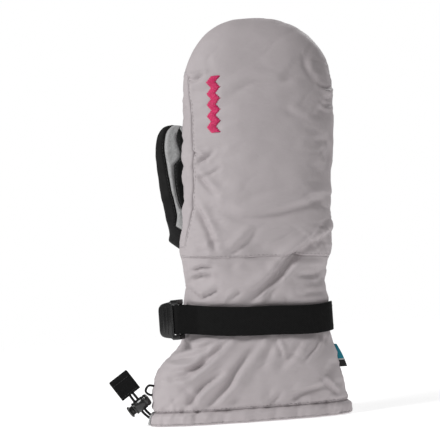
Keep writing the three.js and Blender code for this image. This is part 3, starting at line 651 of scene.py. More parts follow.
SIM_STRIDE = 3           # the cloth takes every third row and column of the skin
SIM_SCALE = 0.01         # the solver works best on metre-sized cloth, so 1 mm becomes 10 mm
SIM_FRAMES = 26
SIM_TOP = 322.0          # the columns crowd together above this, so it stays as it is
SURPLUS = 0.03           # share by which the fabric is larger than the space between its seams
PRESSURE = 1.5
BROAD = 9                # coarse columns: only swells narrower than this stay
LARGEST_SWELL = 3.2


def sewn_places(rows, columns):
    """Which places of the cloth are held: its seams, the hem, its top and under the strap."""
    base = BASE[rows][:, columns]
    z = HEIGHTS[rows][:, None] + 0 * base[..., 0]
    column = columns[None, :] + 0 * z
    around = arc_lengths(base, 1)
    held = z < HEM_HEIGHT
    held[-1] = True
    seams = [(BACK_SEAM, *GUSSET), (PALM_RIGHT, WRIST, PALM_TOP), (0, WRIST, PALM_TOP),
             (LITTLE_EDGE, 0, WRIST), (THUMB_EDGE, 0, WRIST)]
    for seam, low, high in seams:
        near = column_distance(around, int(np.argmin(np.abs(columns - seam)))) < 1.0
        held |= near & (z >= low) & (z <= high)
    for seam, first in ((WRIST, 0), (HEM_HEIGHT, 0), (PALM_SEAM, PALM_RIGHT)):
        held |= (np.abs(z - seam) < SPACING * SIM_STRIDE / 2) & (column >= first)
    strapped = np.abs(base[..., 2] - strap_height(base[..., 0])) < WEBBING_WIDTH / 2
    return held | strapped & (column >= THUMB_EDGE) & (column <= LITTLE_EDGE)


def coarse_bag(start):
    """A coarse copy of the skin that closes round its columns, large enough for the solver."""
    mesh = bpy.data.meshes.new("settling cloth")
    mesh.from_pydata((start.reshape(-1, 3) * SIM_SCALE).tolist(), [], ring_faces(*start.shape[:2]))
    bag = bpy.data.objects.new("settling_cloth", mesh)
    bpy.context.scene.collection.objects.link(bag)
    return bag


def add_cloth(bag, held):
    """Nylon that is a little too large for the space between its seams, with air behind it."""
    seams = bag.vertex_groups.new(name="seams")
    seams.add(np.flatnonzero(held).tolist(), 1.0, "REPLACE")
    cloth = bag.modifiers.new("cloth", "CLOTH")
    settings = cloth.settings
    settings.quality = 6
    settings.mass = 0.15
    settings.tension_stiffness = 40
    settings.compression_stiffness = 30
    settings.shear_stiffness = 5
    settings.bending_stiffness = 0.15
    settings.vertex_group_mass = "seams"
    settings.pin_stiffness = 1.0
    settings.shrink_min = -SURPLUS
    settings.use_pressure = True
    settings.uniform_pressure_force = PRESSURE
    settings.effector_weights.gravity = 0.0
    cloth.collision_settings.use_collision = False
    cloth.point_cache.frame_start = 1
    cloth.point_cache.frame_end = SIM_FRAMES


def settled_points(bag):
    """Where the solver leaves the bag's points. The bag is then removed."""
    scene = bpy.context.scene
    for frame_number in range(1, SIM_FRAMES + 1):
        scene.frame_set(frame_number)
    settled = bag.evaluated_get(bpy.context.evaluated_depsgraph_get()).data
    moved = np.empty(len(settled.vertices) * 3, np.float32)
    settled.vertices.foreach_get("co", moved)
    scene.frame_set(1)
    mesh = bag.data
    bpy.data.objects.remove(bag)
    bpy.data.meshes.remove(mesh)
    return moved.astype(float) / SIM_SCALE


def settle_cloth():
    """Runs Blender's cloth solver on a coarse bag and returns how far each point moved outward."""
    rows = np.arange(0, row_at(HEIGHTS, SIM_TOP), SIM_STRIDE)
    columns = np.arange(0, COLUMNS, SIM_STRIDE)
    base = BASE[rows][:, columns]
    normals = BASE_NORMALS[rows][:, columns]
    crumple = 0.8 * wobble(base, 16.0, 71) + 0.4 * wobble(base, 8.0, 72)
    start = base + normals * crumple[..., None]
    bag = coarse_bag(start)
    add_cloth(bag, sewn_places(rows, columns))
    moved = settled_points(bag).reshape(start.shape)
    outward = ((moved - start) * normals).sum(-1) + crumple
    return spread_over_grid(rows, columns, outward)


def spread_over_grid(rows, columns, values):
    """Values at the coarse rows and columns, interpolated to every place of the grid."""
    wrapped = np.concatenate([values, values[:, :1]], 1)
    at = np.concatenate([columns, [COLUMNS]])
    wide = np.array([np.interp(np.arange(COLUMNS), at, line) for line in wrapped])
    return np.array([np.interp(np.arange(len(HEIGHTS)), rows, column) for column in wide.T]).T


def running_mean(values, reach, axis, wraps):
    """The mean over a window of the coarse grid, along one axis."""
    mode = "wrap" if wraps else "edge"
    pad = [(0, 0), (0, 0)]
    pad[axis] = (reach, reach)
    total = np.cumsum(np.pad(values, pad, mode=mode), axis=axis)
    size = values.shape[axis]
    window = 2 * reach
    ahead = np.take(total, range(window, window + size), axis)
    behind = np.take(total, range(size), axis)
    return (ahead - behind) / window


def add_settled_cloth(depths):
    """Adds the settled cloth's swells, without the broad shape that the filling holds."""
    puff = settle_cloth()
    broad = puff
    reach = BROAD * SIM_STRIDE
    for _ in range(2):
        broad = running_mean(running_mean(broad, reach, 1, True), reach, 0, False)
    fading = smooth((SIM_TOP - 6 - HEIGHTS) / 34)[:, None]
    swell = LARGEST_SWELL * np.tanh((puff - broad) * fading / LARGEST_SWELL)
    return depths + swell + 0.5 * fading


DEPTHS = add_settled_cloth(DEPTHS)
SKIN = BASE + BASE_NORMALS * DEPTHS[..., None]
SKIN_NORMALS = normals_of(SKIN)

# ---- Meshes --------------------------------------------------------------------------------------


def link(name, mesh, material):
    piece = bpy.data.objects.new(name, mesh)
    bpy.context.scene.collection.objects.link(piece)
    mesh.materials.append(material)
    mesh.polygons.foreach_set("use_smooth", [True] * len(mesh.polygons))
    return piece


def mesh_of(name, points, faces, uvs=None):
    """A mesh from points in mm and faces; uvs holds one place in mm for each point."""
    mesh = bpy.data.meshes.new(name)
    mesh.from_pydata((np.asarray(points) * MM).tolist(), [], faces)
    if uvs is not None:
        layer = mesh.uv_layers.new(name="cloth")
        order = np.empty(len(mesh.loops), np.int32)
        mesh.loops.foreach_get("vertex_index", order)
        layer.data.foreach_set("uv", (np.asarray(uvs)[order] * MM).ravel())
    mesh.validate()
    mesh.update()
    return mesh


def weld(piece):
    modifier = piece.modifiers.new("weld", "WELD")
    modifier.merge_threshold = 0.02 * MM


def thicken(piece, thickness):
    """Gives a sheet its thickness, inward from the outer face."""
    modifier = piece.modifiers.new("thickness", "SOLIDIFY")
    modifier.thickness = thickness * MM
    modifier.offset = -1
    modifier.use_even_offset = False


def apply_modifiers(piece):
    view = bpy.context.view_layer
    view.update()
    evaluated = piece.evaluated_get(bpy.context.evaluated_depsgraph_get())
    mesh = bpy.data.meshes.new_from_object(evaluated)
    piece.modifiers.clear()
    piece.data = mesh
    return piece


def block_steps(first, last, stride):
    """First, then every stride-th, up to and including last."""
    return [*range(first, last, stride), last]


def sheet(name, blocks, material, grid, thickness=1.1, inset=0.0, stride=1, skip=None):
    """A panel cut from blocks of a grid; each block is (first row, last row, first column, last column).
    skip says which places of the grid lie in an opening."""
    points, normals = grid
    count = points.shape[1]
    around = arc_lengths(points, 1)
    upward = arc_lengths(points, 0)
    index, chosen, uvs, faces = {}, [], [], []

    def vertex(row, column):
        key = (row, column)
        if key not in index:
            index[key] = len(chosen)
            c = column % count
            chosen.append(points[row, c] - normals[row, c] * inset)
            uvs.append((around[row, c], upward[row, c]))
        return index[key]

    for first_row, last_row, first, last in blocks:
        row_steps = block_steps(first_row, last_row, stride)
        column_steps = block_steps(first, last, stride)
        for a, b in zip(row_steps, row_steps[1:]):
            for c, d in zip(column_steps, column_steps[1:]):
                if skip is not None and skip[a, c % count] and skip[b, d % count]:
                    continue
                faces.append((vertex(a, c), vertex(a, d), vertex(b, d), vertex(b, c)))
    piece = link(name, mesh_of(name, chosen, faces, uvs), material)
    weld(piece)
    thicken(piece, thickness)
    return apply_modifiers(piece)


# ---- Pieces and the CAD nodes they stand for -----------------------------------------------------


def stand_for(piece, slot, *nodes):
    if nodes:
        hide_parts(*nodes)
    return piece


def on_body(piece, body, slot, *nodes):
    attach(piece, body)
    return stand_for(piece, slot, *nodes)


def at_wrist(piece, slot, *nodes):
    """A layer of fabric that spans the cuff and the hand, with its placement baked into its mesh."""
    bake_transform(piece)
    return stand_for(piece, slot, *nodes)


def at_thumb(piece, slot, *nodes):
    """A layer of fabric that spans the hand and the thumb, with its placement baked into its mesh."""
    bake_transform(piece)
    return stand_for(piece, slot, *nodes)


# ---- Materials -----------------------------------------------------------------------------------


class Recipe:
    """A procedural material: colour, roughness and bump are all driven by nodes."""

    def __init__(self, name, color, roughness, metallic=0.0, sheen=0.0, coat=0.0, shine=0.5):
        self.material = bpy.data.materials.new(name)
        self.material.use_nodes = True
        self.tree = self.material.node_tree
        self.bsdf = self.tree.nodes["Principled BSDF"]
        finish = {"Metallic": metallic, "Specular IOR Level": shine, "Sheen Weight": sheen,
                  "Sheen Roughness": 0.45, "Coat Weight": coat, "Coat Roughness": 0.2}
        for key, value in finish.items():
            self.bsdf.inputs[key].default_value = value
        self.roughness = roughness
        self.color = color
        self.places = self.node("ShaderNodeTexCoord").outputs
        self.tinted = None
        self.last_bump = None

    def node(self, kind, **inputs):
        made = self.tree.nodes.new(kind)
        for key, value in inputs.items():
            made.inputs[key.replace("_", " ")].default_value = value
        return made

    def join(self, output, target):
        self.tree.links.new(output, target)

    def mapped(self, texture, place, **mapping):
        """Feeds a texture with turned or stretched coordinates."""
        made = self.node("ShaderNodeMapping", **mapping)
        self.join(self.places[place], made.inputs["Vector"])
        self.join(made.outputs["Vector"], texture.inputs["Vector"])
        return texture.outputs["Fac"]

    def noise(self, size, detail=3.0, stretch=(1, 1, 1)):
        made = self.node("ShaderNodeTexNoise", Scale=1.0 / (size * MM), Detail=detail)
        return self.mapped(made, "Object", Scale=stretch)

    def cells(self, size, feature="F1"):
        made = self.node("ShaderNodeTexVoronoi", Scale=1.0 / (size * MM))
        made.feature = feature
        self.join(self.places["Object"], made.inputs["Vector"])
        return made.outputs["Distance"]

    def ribs(self, period, turn=0.0):
        """Even ribs of the given period, turned about the surface's own normal."""
        made = self.node("ShaderNodeTexWave", Scale=math.pi / 10 / (period * MM))
        return self.mapped(made, "UV", Rotation=(0, 0, math.radians(turn)))

    def combine(self, a, b, operation="MULTIPLY"):
        made = self.node("ShaderNodeMath")
        made.operation = operation
        self.join(a, made.inputs[0])
        self.join(b, made.inputs[1])
        return made.outputs[0]

    def spread(self, source, low, high, from_low=0.3, from_high=0.7):
        made = self.node("ShaderNodeMapRange", From_Min=from_low, From_Max=from_high,
                         To_Min=low, To_Max=high)
        self.join(source, made.inputs["Value"])
        return made.outputs["Result"]

    def tint(self, source, share, from_low=0.3, from_high=0.7):
        """Mixes in the same colour at another brightness where the source is high."""
        mix = self.node("ShaderNodeMix")
        mix.data_type = "RGBA"
        self.join(self.spread(source, 0, 1, from_low, from_high), mix.inputs["Factor"])
        mix.inputs["A"].default_value = (*self.color, 1)
        if self.tinted:
            self.join(self.tinted, mix.inputs["A"])
        mix.inputs["B"].default_value = (*(c * share for c in self.color), 1)
        self.tinted = mix.outputs["Result"]
        return self

    def bump(self, source, height, strength):
        made = self.node("ShaderNodeBump", Strength=strength, Distance=height * MM)
        self.join(source, made.inputs["Height"])
        if self.last_bump:
            self.join(self.last_bump, made.inputs["Normal"])
        self.last_bump = made.outputs["Normal"]
        return self

    def done(self, rough_source=None, rough_range=0.1):
        source = rough_source or self.noise(9.0)
        low, high = self.roughness - rough_range, self.roughness + rough_range
        self.join(self.tinted, self.bsdf.inputs["Base Color"])
        self.join(self.spread(source, low, high), self.bsdf.inputs["Roughness"])
        if self.last_bump:
            self.join(self.last_bump, self.bsdf.inputs["Normal"])
        return self.material


def gray(value):
    return (value, value, value)


def nylon(name, color):
    made = Recipe(name, color, 0.6, sheen=0.05, shine=0.3)
    weave = made.combine(made.ribs(0.9), made.ribs(0.9, 90))
    made.tint(made.noise(45.0), 0.9).tint(weave, 0.93, 0.0, 1.4)
    made.bump(weave, 0.05, 0.5).bump(made.noise(2.6), 0.10, 0.5)
    made.bump(made.noise(9.0, 4.0, stretch=(0.6, 1, 1)), 0.9, 0.55)
    return made.done(made.noise(14.0), 0.07)


def leather(name, color):
    made = Recipe(name, color, 0.5, shine=0.3)
    grain = made.cells(1.5, feature="SMOOTH_F1")
    made.tint(made.noise(30.0, 5.0), 1.7, 0.35, 0.8).tint(grain, 0.55, 0.45, 0.95)
    made.bump(grain, 0.30, 0.7).bump(made.noise(5.0), 0.25, 0.5)
    return made.done(made.noise(11.0, 4.0), 0.11)


def softshell(name, color):
    made = Recipe(name, color, 0.82, sheen=0.02, shine=0.2)
    knit = made.combine(made.ribs(1.1, 45), made.ribs(1.1, -45))
    made.tint(made.noise(22.0), 1.5)
    made.bump(knit, 0.07, 0.6).bump(made.noise(3.0), 0.12, 0.5)
    return made.done()


def pile(name, color, size, height):
    """Fleece, brushed fabric or loose filling."""
    made = Recipe(name, color, 0.93, sheen=0.1, shine=0.2)
    tufts = made.noise(size, 6.0)
    made.tint(tufts, 0.72, 0.35, 0.7)
    made.bump(tufts, height, 0.8).bump(made.noise(size * 5), height, 0.6)
    return made.done(tufts, 0.05)


def webbing(name, color):
    """Flat nylon webbing with a herringbone weave."""
    made = Recipe(name, color, 0.7, shine=0.1)
    yarns = made.combine(made.ribs(1.5, 50), made.ribs(1.5, -50), "MAXIMUM")
    picks = made.ribs(0.85)
    made.tint(yarns, 2.1, 0.55, 1.2)
    made.bump(yarns, 0.22, 0.8).bump(picks, 0.12, 0.7)
    return made.done(made.noise(3.0), 0.09)


def plastic(name, color):
    made = Recipe(name, color, 0.24, coat=0.3, shine=0.5)
    scuffs = made.noise(1.6, 6.0, stretch=(1, 1, 5))
    made.tint(made.noise(12.0), 1.8, 0.45, 0.8)
    made.bump(made.cells(0.7), 0.03, 0.5)
    return made.done(scuffs, 0.10)


def braid(name, color):
    made = Recipe(name, color, 0.7, sheen=0.02, shine=0.3)
    plaits = made.combine(made.ribs(1.5, 40), made.ribs(1.5, -40))
    made.tint(plaits, 2.4, 0.1, 1.1)
    made.bump(plaits, 0.3, 0.9)
    return made.done()


def thread(name, color):
    made = Recipe(name, color, 0.42, sheen=0.2)
    strands = made.ribs(0.55, 90)
    made.tint(strands, 0.45, 0.3, 1.3)
    made.bump(strands, 0.18, 0.9)
    return made.done(strands, 0.1)


def film(name, color):
    made = Recipe(name, color, 0.35, coat=0.2)
    made.tint(made.noise(18.0), 0.85)
    made.bump(made.noise(7.0, 2.0, stretch=(1, 1, 0.4)), 0.5, 0.6)
    return made.done()


def steel(name, color):
    made = Recipe(name, color, 0.3, metallic=1.0)
    made.tint(made.noise(0.8), 0.7)
    made.bump(made.noise(0.4, stretch=(4, 1, 1)), 0.01, 0.4)
    return made.done()


SHELL = nylon("shell nylon", (0.462, 0.420, 0.430))
LEATHER = leather("palm leather", gray(0.0125))
SOFT_BLACK = softshell("softshell black", gray(0.0062))
WIPE = pile("thumb wipe", gray(0.42), 1.4, 0.35)
FILLING = pile("insulation", gray(0.78), 3.0, 0.9)
FLEECE = pile("fleece", gray(0.032), 1.6, 0.6)
MEMBRANE = film("membrane", gray(0.62))
WEBBING = webbing("webbing", gray(0.0045))
PLASTIC = plastic("moulded plastic", gray(0.0045))
CORD = braid("elastic cord", gray(0.006))
ELASTIC = webbing("elastic", gray(0.60))
TAPE = nylon("side tape", (0.010, 0.20, 0.27))
TAPE_STRIPE = nylon("side tape stripe", gray(0.42))
LABEL = nylon("label tape", gray(0.012))
PINK = thread("thread", (0.86, 0.018, 0.165))
GREY_THREAD = thread("seam thread", (0.41, 0.372, 0.383))
BLACK_THREAD = thread("dark seam thread", gray(0.012))
STEEL = steel("spring steel", gray(0.55))

# ---- Panels of the shell -------------------------------------------------------------------------

THUMB_ROOT = 144.0      # below this the thumb's fabric lies on the palm
THUMB_FREE = 172.0      # above this the thumb stands clear of the palm


def inside_thumb(points, depth):
    """Which points lie inside the thumb's form by at least the given depth."""
    x, y, z = np.moveaxis(points, -1, 0)
    thumb, little, back, palm, middle = THUMB.level(z, depth)
    across = np.abs(x - (thumb + little) / 2) / np.maximum((little - thumb) / 2, 1)
    deep = np.where(y > middle, y - middle, 0) / np.maximum(palm, 1)
    inside = across ** ROUNDNESS + deep ** ROUNDNESS < 1
    return inside & (z > THUMB_ROOT) & (z < THUMB_FREE) & (y > middle - back)


HOLE = inside_thumb(BASE, 8.0)
GRID = (SKIN, SKIN_NORMALS)
TOP = len(HEIGHTS) - 1


def named_rows(heights, **places):
    return {name: row_at(heights, z) for name, z in places.items()}


ROW = named_rows(HEIGHTS, hem=HEM_HEIGHT, wrist=WRIST, palm_seam=PALM_SEAM, palm_top=PALM_TOP,
                 patch_low=PATCH[0], patch_high=PATCH[1], gusset_low=GUSSET[0], gusset_high=GUSSET[1])


def shell_panels():
    """Each panel: its name, CAD node, material, slot and blocks of the skin's grid."""
    hem, wrist, palm_seam, palm_top, patch_low, patch_high, gusset_low, gusset_high = ROW.values()
    back = [(wrist, TOP, BACK_SEAM, PALM_RIGHT), (wrist, gusset_low, 0, BACK_SEAM),
            (gusset_high, TOP, 0, BACK_SEAM)]
    gusset = [(gusset_low, patch_low, 0, BACK_SEAM), (patch_low, patch_high, THUMB_EDGE, BACK_SEAM),
              (patch_high, gusset_high, 0, BACK_SEAM)]
    cloth = (SHELL, "shell_nylon")
    hide = (LEATHER, "palm_leather")
    panels = [
        ("back_panel", "back_shell", cloth, back),
        ("index_side_gusset", "index_gusset", cloth, gusset),
        ("index_grip_patch", "index_patch", hide, [(patch_low, patch_high, 0, THUMB_EDGE)]),
        ("palm_heel_panel", "palm_heel", hide, [(wrist, palm_seam, PALM_RIGHT, COLUMNS)]),
        ("palm_finger_panel", "palm_fingers", hide, [(palm_seam, palm_top, PALM_RIGHT, COLUMNS)]),
        ("cuff_back_panel", "cuff_back_shell", cloth, [(hem, wrist, THUMB_EDGE, LITTLE_EDGE)]),
        ("cuff_palm_panel", "cuff_palm_shell", cloth, [(hem, wrist, LITTLE_EDGE, COLUMNS + THUMB_EDGE)]),
    ]
    for name, node, (material, slot), blocks in panels:
        opening = HOLE if node == "palm_heel" else None
        at_wrist(sheet(name, blocks, material, GRID, skip=opening), slot, node)


shell_panels()

# ---- Layers inside the shell ---------------------------------------------------------------------


def valley_floor(depths, reach):
    """The lowest depth within some rows and columns of each place."""
    lowest = depths.copy()
    for shift in range(-reach, reach + 1):
        lowest = np.minimum(lowest, np.roll(depths, shift, 1))
    for shift in range(1, reach + 1):
        above = np.vstack([lowest[shift:], lowest[-shift:]])
        below = np.vstack([lowest[:shift], lowest[:-shift]])
        lowest = np.minimum(lowest, np.minimum(above, below))
    return lowest


VALLEYS = valley_floor(DEPTHS, 2)
SOFTENED = 0.4 * np.minimum(DEPTHS, 0.3 * DEPTHS)


def layer_grid(inset, share):
    """The skin moved inward, with a share of its folds' valleys."""
    depths = share * VALLEYS + (1 - share) * SOFTENED - inset
    points = BASE + BASE_NORMALS * depths[..., None]
    return points, normals_of(points)


def inner_layers():
    """Each layer: name, CAD node, material, slot, rows, columns, inset, share of folds, thickness."""
    hand = (ROW["wrist"], ROW["palm_top"] - 4)
    cuff = (ROW["hem"], ROW["wrist"])
    back = (THUMB_EDGE, LITTLE_EDGE)
    palm = (LITTLE_EDGE, COLUMNS + THUMB_EDGE)
    both = (0, COLUMNS)
    layers = [
        ("back_filling", "back_insulation", FILLING, "insulation", hand, back, 2.2, 1.0, 2.6),
        ("palm_filling", "palm_insulation", FILLING, "insulation", hand, palm, 2.2, 1.0, 2.6),
        ("cuff_filling", "cuff_insulation", FILLING, "insulation", cuff, both, 2.2, 1.0, 1.8),
        ("waterproof_insert", "hand_membrane", MEMBRANE, "membrane", hand, both, 5.9, 0.6, 0.5),
        ("fleece_hand_lining", "hand_lining", FLEECE, "fleece", hand, both, 7.2, 0.5, 1.4),
        ("fleece_cuff_lining", "cuff_lining", FLEECE, "fleece", cuff, both, 5.6, 0.5, 1.3),
    ]
    for name, node, material, slot, rows, columns, inset, share, thickness in layers:
        grid = layer_grid(inset, share)
        piece = sheet(name, [(*rows, *columns)], material, grid, thickness, stride=2, skip=HOLE)
        at_wrist(piece, slot, node)


inner_layers()

# ---- Hem -----------------------------------------------------------------------------------------


HEM_DEPTH = 6.0          # from the hem's outer face to its inner face
HEM_BOTTOM = 3.0         # the height at which its outer face starts to turn under


def hem_band():
    """The hem's fabric runs down the outside, round the bottom and up the inside."""
    lines = [SKIN[row] for row in range(ROW["hem"], 0, -1)]

    def add(row, inset, height):
        line = SKIN[row] - BASE_NORMALS[row] * inset
        line[:, 2] = height
        lines.append(line)

    for turn in np.linspace(0, math.pi, 9):
        add(1, HEM_DEPTH / 2 * (1 - math.cos(turn)), HEM_BOTTOM / 2 * (1 - math.sin(turn)) + 0.1)
    for height in (3.0, 5.5, 8.0, 10.0, 11.8):
        add(row_at(HEIGHTS, height), HEM_DEPTH, height)
    points = np.array(lines)[:, ::-1]
    block = (0, len(lines) - 1, 0, COLUMNS)
    piece = sheet("hem_channel", [block], SHELL, (points, normals_of(points)), 0.7)
    on_body(piece, "cuff", "shell_nylon", "hem_binding")


hem_band()

# ---- Sweeps: straps, cords, tapes and threads ----------------------------------------------------


def frames_along(path, out_hint):
    """Tangents and out-facing directions along a path, from a hint of where outward is."""
    tangent = np.gradient(path, axis=0)
    tangent /= np.linalg.norm(tangent, axis=1, keepdims=True)
    out = out_hint - (out_hint * tangent).sum(1, keepdims=True) * tangent
    out /= np.linalg.norm(out, axis=1, keepdims=True)
    return tangent, out, np.cross(tangent, out)


def sweep_parts(path, out_hint, section, closed=False):
    """Points, faces and uvs of a section (out, side) swept along a path, with closed ends."""
    path = np.asarray(path, float)
    out_hint = np.broadcast_to(np.asarray(out_hint, float), path.shape)
    _, out, side = frames_along(path, out_hint)
    section = np.asarray(section, float)
    count = len(section)
    grid = (path[:, None] + out[:, None] * section[None, :, :1] + side[:, None] * section[None, :, 1:])
    along = arc_lengths(path[None], 1)[0]
    girth = arc_lengths(section[None], 1)[0]
    uvs = np.stack(np.broadcast_arrays(along[:, None], girth[None]), -1).reshape(-1, 2)
    faces = ring_faces(len(path), count, closed)
    if not closed:
        faces += end_faces(len(path), count)
    return grid.reshape(-1, 3), faces, uvs


def gather_parts(parts):
    """Joins several (points, faces, uvs) into one."""
    points, faces, uvs, start = [], [], [], 0
    for some_points, some_faces, some_uvs in parts:
        points.append(some_points)
        uvs.append(some_uvs)
        faces += [tuple(i + start for i in face) for face in some_faces]
        start += len(some_points)
    return np.concatenate(points), faces, np.concatenate(uvs)


def solid_piece(name, parts, material):
    points, faces, uvs = gather_parts(parts)
    mesh = mesh_of(name, points, faces, uvs)
    piece = link(name, mesh, material)
    make_outward(piece)
    return piece


def make_outward(piece):
    edit = bmesh.new()
    edit.from_mesh(piece.data)
    bmesh.ops.recalc_face_normals(edit, faces=edit.faces)
    edit.to_mesh(piece.data)
    edit.free()


def circle_section(radius, sides):
    turns = np.arange(sides) / sides * 2 * math.pi
    return np.stack([radius * np.cos(turns), radius * np.sin(turns)], 1)


def band_section(thickness, width):
    """A flat band's cross-section with rounded edges: thickness along out, width along side."""
    half, end = width / 2, thickness / 2
    side = np.linspace(-half + end, half - end, 10)
    turn = np.linspace(-math.pi / 2, math.pi / 2, 5)[1:-1]
    top = np.stack([np.full(10, end), side], 1)
    right = np.stack([end * np.cos(turn + math.pi / 2), half - end + end * np.cos(turn)], 1)
    bottom = np.stack([np.full(10, -end), side[::-1]], 1)
    left = np.stack([-end * np.cos(turn + math.pi / 2), -half + end - end * np.cos(turn)], 1)
    return np.concatenate([top, right, bottom, left])


def tube(path, radius, sides, hint, closed=False):
    """A round rod along a path. The hint says which way its first corner points."""
    return sweep_parts(path, hint, circle_section(radius, sides), closed)


# ---- Stitching -----------------------------------------------------------------------------------


def column_path(grid, column, offset, first_row, last_row):
    """Points and normals beside a column seam, at a distance round the row."""
    points, normals = grid
    count = points.shape[1]
    found = []
    for row in range(first_row, last_row + 1):
        wanted, index, step = abs(offset), column, 1 if offset > 0 else -1
        while True:
            a, b = points[row, index % count], points[row, (index + step) % count]
            gap = np.linalg.norm(b - a)
            if gap >= wanted or abs(index - column) > 12:
                break
            wanted -= gap
            index += step
        share = min(1.0, wanted / max(gap, 1e-6))
        found.append((a + (b - a) * share, normals[row, index % count]))
    return np.array([f[0] for f in found]), np.array([f[1] for f in found])


def row_path(grid, row, offset, first, last):
    """Points and normals beside a row seam, at a distance up the columns."""
    points, normals = grid
    count = points.shape[1]
    upward = arc_lengths(points, 0)
    found = []
    for column in range(first, last + 1):
        c = column % count
        target = upward[row, c] + offset
        i = int(np.clip(np.searchsorted(upward[:, c], target) - 1, 0, len(upward) - 2))
        share = (target - upward[i, c]) / max(upward[i + 1, c] - upward[i, c], 1e-6)
        found.append((points[i, c] + (points[i + 1, c] - points[i, c]) * share, normals[i, c]))
    return np.array([f[0] for f in found]), np.array([f[1] for f in found])


def stitches(path, normals, length=2.5, gap=1.1, radius=0.26):
    """Thread showing between needle holes: short beads that dip into the cloth at both ends."""
    along = arc_lengths(path[None], 1)[0]
    parts = []
    place = gap
    while place + length < along[-1]:
        at = np.linspace(place, place + length, 5)
        line = np.stack([np.interp(at, along, path[:, k]) for k in range(3)], 1)
        out = np.stack([np.interp(at, along, normals[:, k]) for k in range(3)], 1)
        rise = np.array([-0.25, 0.1, 0.18, 0.1, -0.25])
        parts.append(sweep_parts(line + out * rise[:, None], out, circle_section(radius, 6)))
        place += length + gap
    return parts


def topstitching():
    """Visible stitch lines beside the seams of the hand and the cuff."""
    wrist, palm_top = ROW["wrist"], ROW["palm_top"]
    around = COLUMNS + THUMB_EDGE
    gusset = column_path(GRID, BACK_SEAM, 1.9, ROW["gusset_low"], ROW["gusset_high"])
    pale = stitches(*gusset, radius=0.2)
    pale += stitches(*row_path(GRID, ROW["hem"], 1.6, 0, COLUMNS))
    pale += stitches(*row_path(GRID, wrist, 1.8, THUMB_EDGE, LITTLE_EDGE), radius=0.16)
    pale += stitches(*row_path(GRID, wrist, -2.4, LITTLE_EDGE, around))
    pale += stitches(*row_path(GRID, ROW["gusset_high"], 1.8, 0, BACK_SEAM))
    dark = stitches(*row_path(GRID, ROW["palm_seam"], 1.8, PALM_RIGHT, COLUMNS), radius=0.2)
    for column, offset in ((0, -2.0), (PALM_RIGHT, 2.0)):
        dark += stitches(*column_path(GRID, column, offset, wrist + 2, palm_top - 3))
    for row, offset in ((ROW["patch_low"], 1.6), (ROW["patch_high"], -1.6)):
        dark += stitches(*row_path(GRID, row, offset, 0, THUMB_EDGE))
    at_wrist(solid_piece("shell_topstitching", pale, GREY_THREAD), "thread")
    at_wrist(solid_piece("palm_topstitching", dark, BLACK_THREAD), "thread")


topstitching()

# ---- Embroidery ----------------------------------------------------------------------------------


STROKE_SHARE = 0.58      # the stroke's width, as a share of the CAD embroidery's
SWING_SHARE = 0.14       # how far it swings to each side, as such a share
ZIGZAG_TURNS = 10
ZIGZAG_LEAN = 3.0        # how far the zigzag drifts towards the little finger over its height
THREAD_PITCH = 0.60
THREAD_RADIUS = 0.42
SATIN_RISE = np.array([-0.3, 0.35, 0.55, 0.62, 0.55, 0.35, -0.3])    # a thread's arch, end to end


def embroidery():
    """A satin-stitch zigzag: every thread lies across the stroke, on top of the fabric."""
    low, high = corner("embroidery", 0), corner("embroidery", 1)
    stroke = (high[0] - low[0]) * STROKE_SHARE
    half_swing = (high[0] - low[0]) * SWING_SHARE
    parts = []
    for k, z in enumerate(np.arange(low[2], high[2], THREAD_PITCH)):
        share = (z - low[2]) / (high[2] - low[2])
        swing = 2 * abs((share * ZIGZAG_TURNS) % 2 - 1) - 1
        uneven = 0.35 * math.sin(k * 2.4)
        middle = low[0] + 1.5 + ZIGZAG_LEAN * share + half_swing * swing + uneven
        x = np.linspace(middle - stroke / 2, middle + stroke / 2, len(SATIN_RISE))
        height = np.full_like(x, z)
        base = HAND.point(height, 2 * np.pi - HAND.angle_at(height, x))
        row = np.argmin(np.abs(BASE[:, BACK_SEAM, 2] - z))
        across = BASE[row, BACK_SEAM:LITTLE_EDGE, 0]
        column = BACK_SEAM + np.abs(across[None] - x[:, None]).argmin(1)
        out = BASE_NORMALS[row, column]
        line = base + out * (DEPTHS[row, column] + SATIN_RISE)[:, None]
        parts.append(sweep_parts(line, out, circle_section(THREAD_RADIUS, 6)))
    on_body(solid_piece("back_embroidery", parts, PINK), "hand", "thread", "embroidery")


embroidery()

# ---- Thumb ---------------------------------------------------------------------------------------

THUMB_COUNTS = (64, 12, 36, 16)    # columns in the front panel, the band, the back and the strip
BAND_OUTER, BACK_FROM, BAND_INNER, THUMB_COLUMNS = np.cumsum(THUMB_COUNTS)
STRIP_FROM = 156.0       # the lighter fabric starts here on the thumb's inner side
BAND_FROM = 165.0        # and here on its outer side
FRONT_TOP = 259.0        # the front panel's side seams end here at the tip
BACK_TOP = 253.0         # and the back panel's here
# How far in from the thumb's outer edge the lighter band starts and ends, by height.
BAND_HEIGHTS = (165, 172, 181, 187, 193, 211, 226, 231, 236, 249, 256, 264)
BAND_STARTS = (16.0, 7.0, 10.6, 10.8, 10.8, 10.0, 8.9, 8.6, 8.3, 7.6, 6.5, 5.0)
BAND_ENDS = (26.0, 26.0, 24.0, 15.5, 14.2, 14.2, 15.5, 21.5, 23.0, 18.4, 16.5, 13.0)
# Degrees round the thumb at which the inner strip starts and ends, and how far both move at the tip.
STRIP_START, START_MOVES = 292.0, 43.0
STRIP_END, END_MOVES = 115.0, 62.0

THUMB_FOLDS = [
    (3.0, 1.2, [(0.95, 150), (0.60, 156), (0.30, 152), (0.05, 158)]),
    (2.6, 1.0, [(0.05, 176), (0.40, 180), (0.75, 174)]),
    (2.4, 0.8, [(0.30, 205), (0.60, 209), (0.95, 204)]),
    (2.4, 0.9, [(0.02, 192), (0.25, 197), (0.50, 194)]),
    (2.2, 0.7, [(0.10, 232), (0.45, 236), (0.80, 231)]),
]


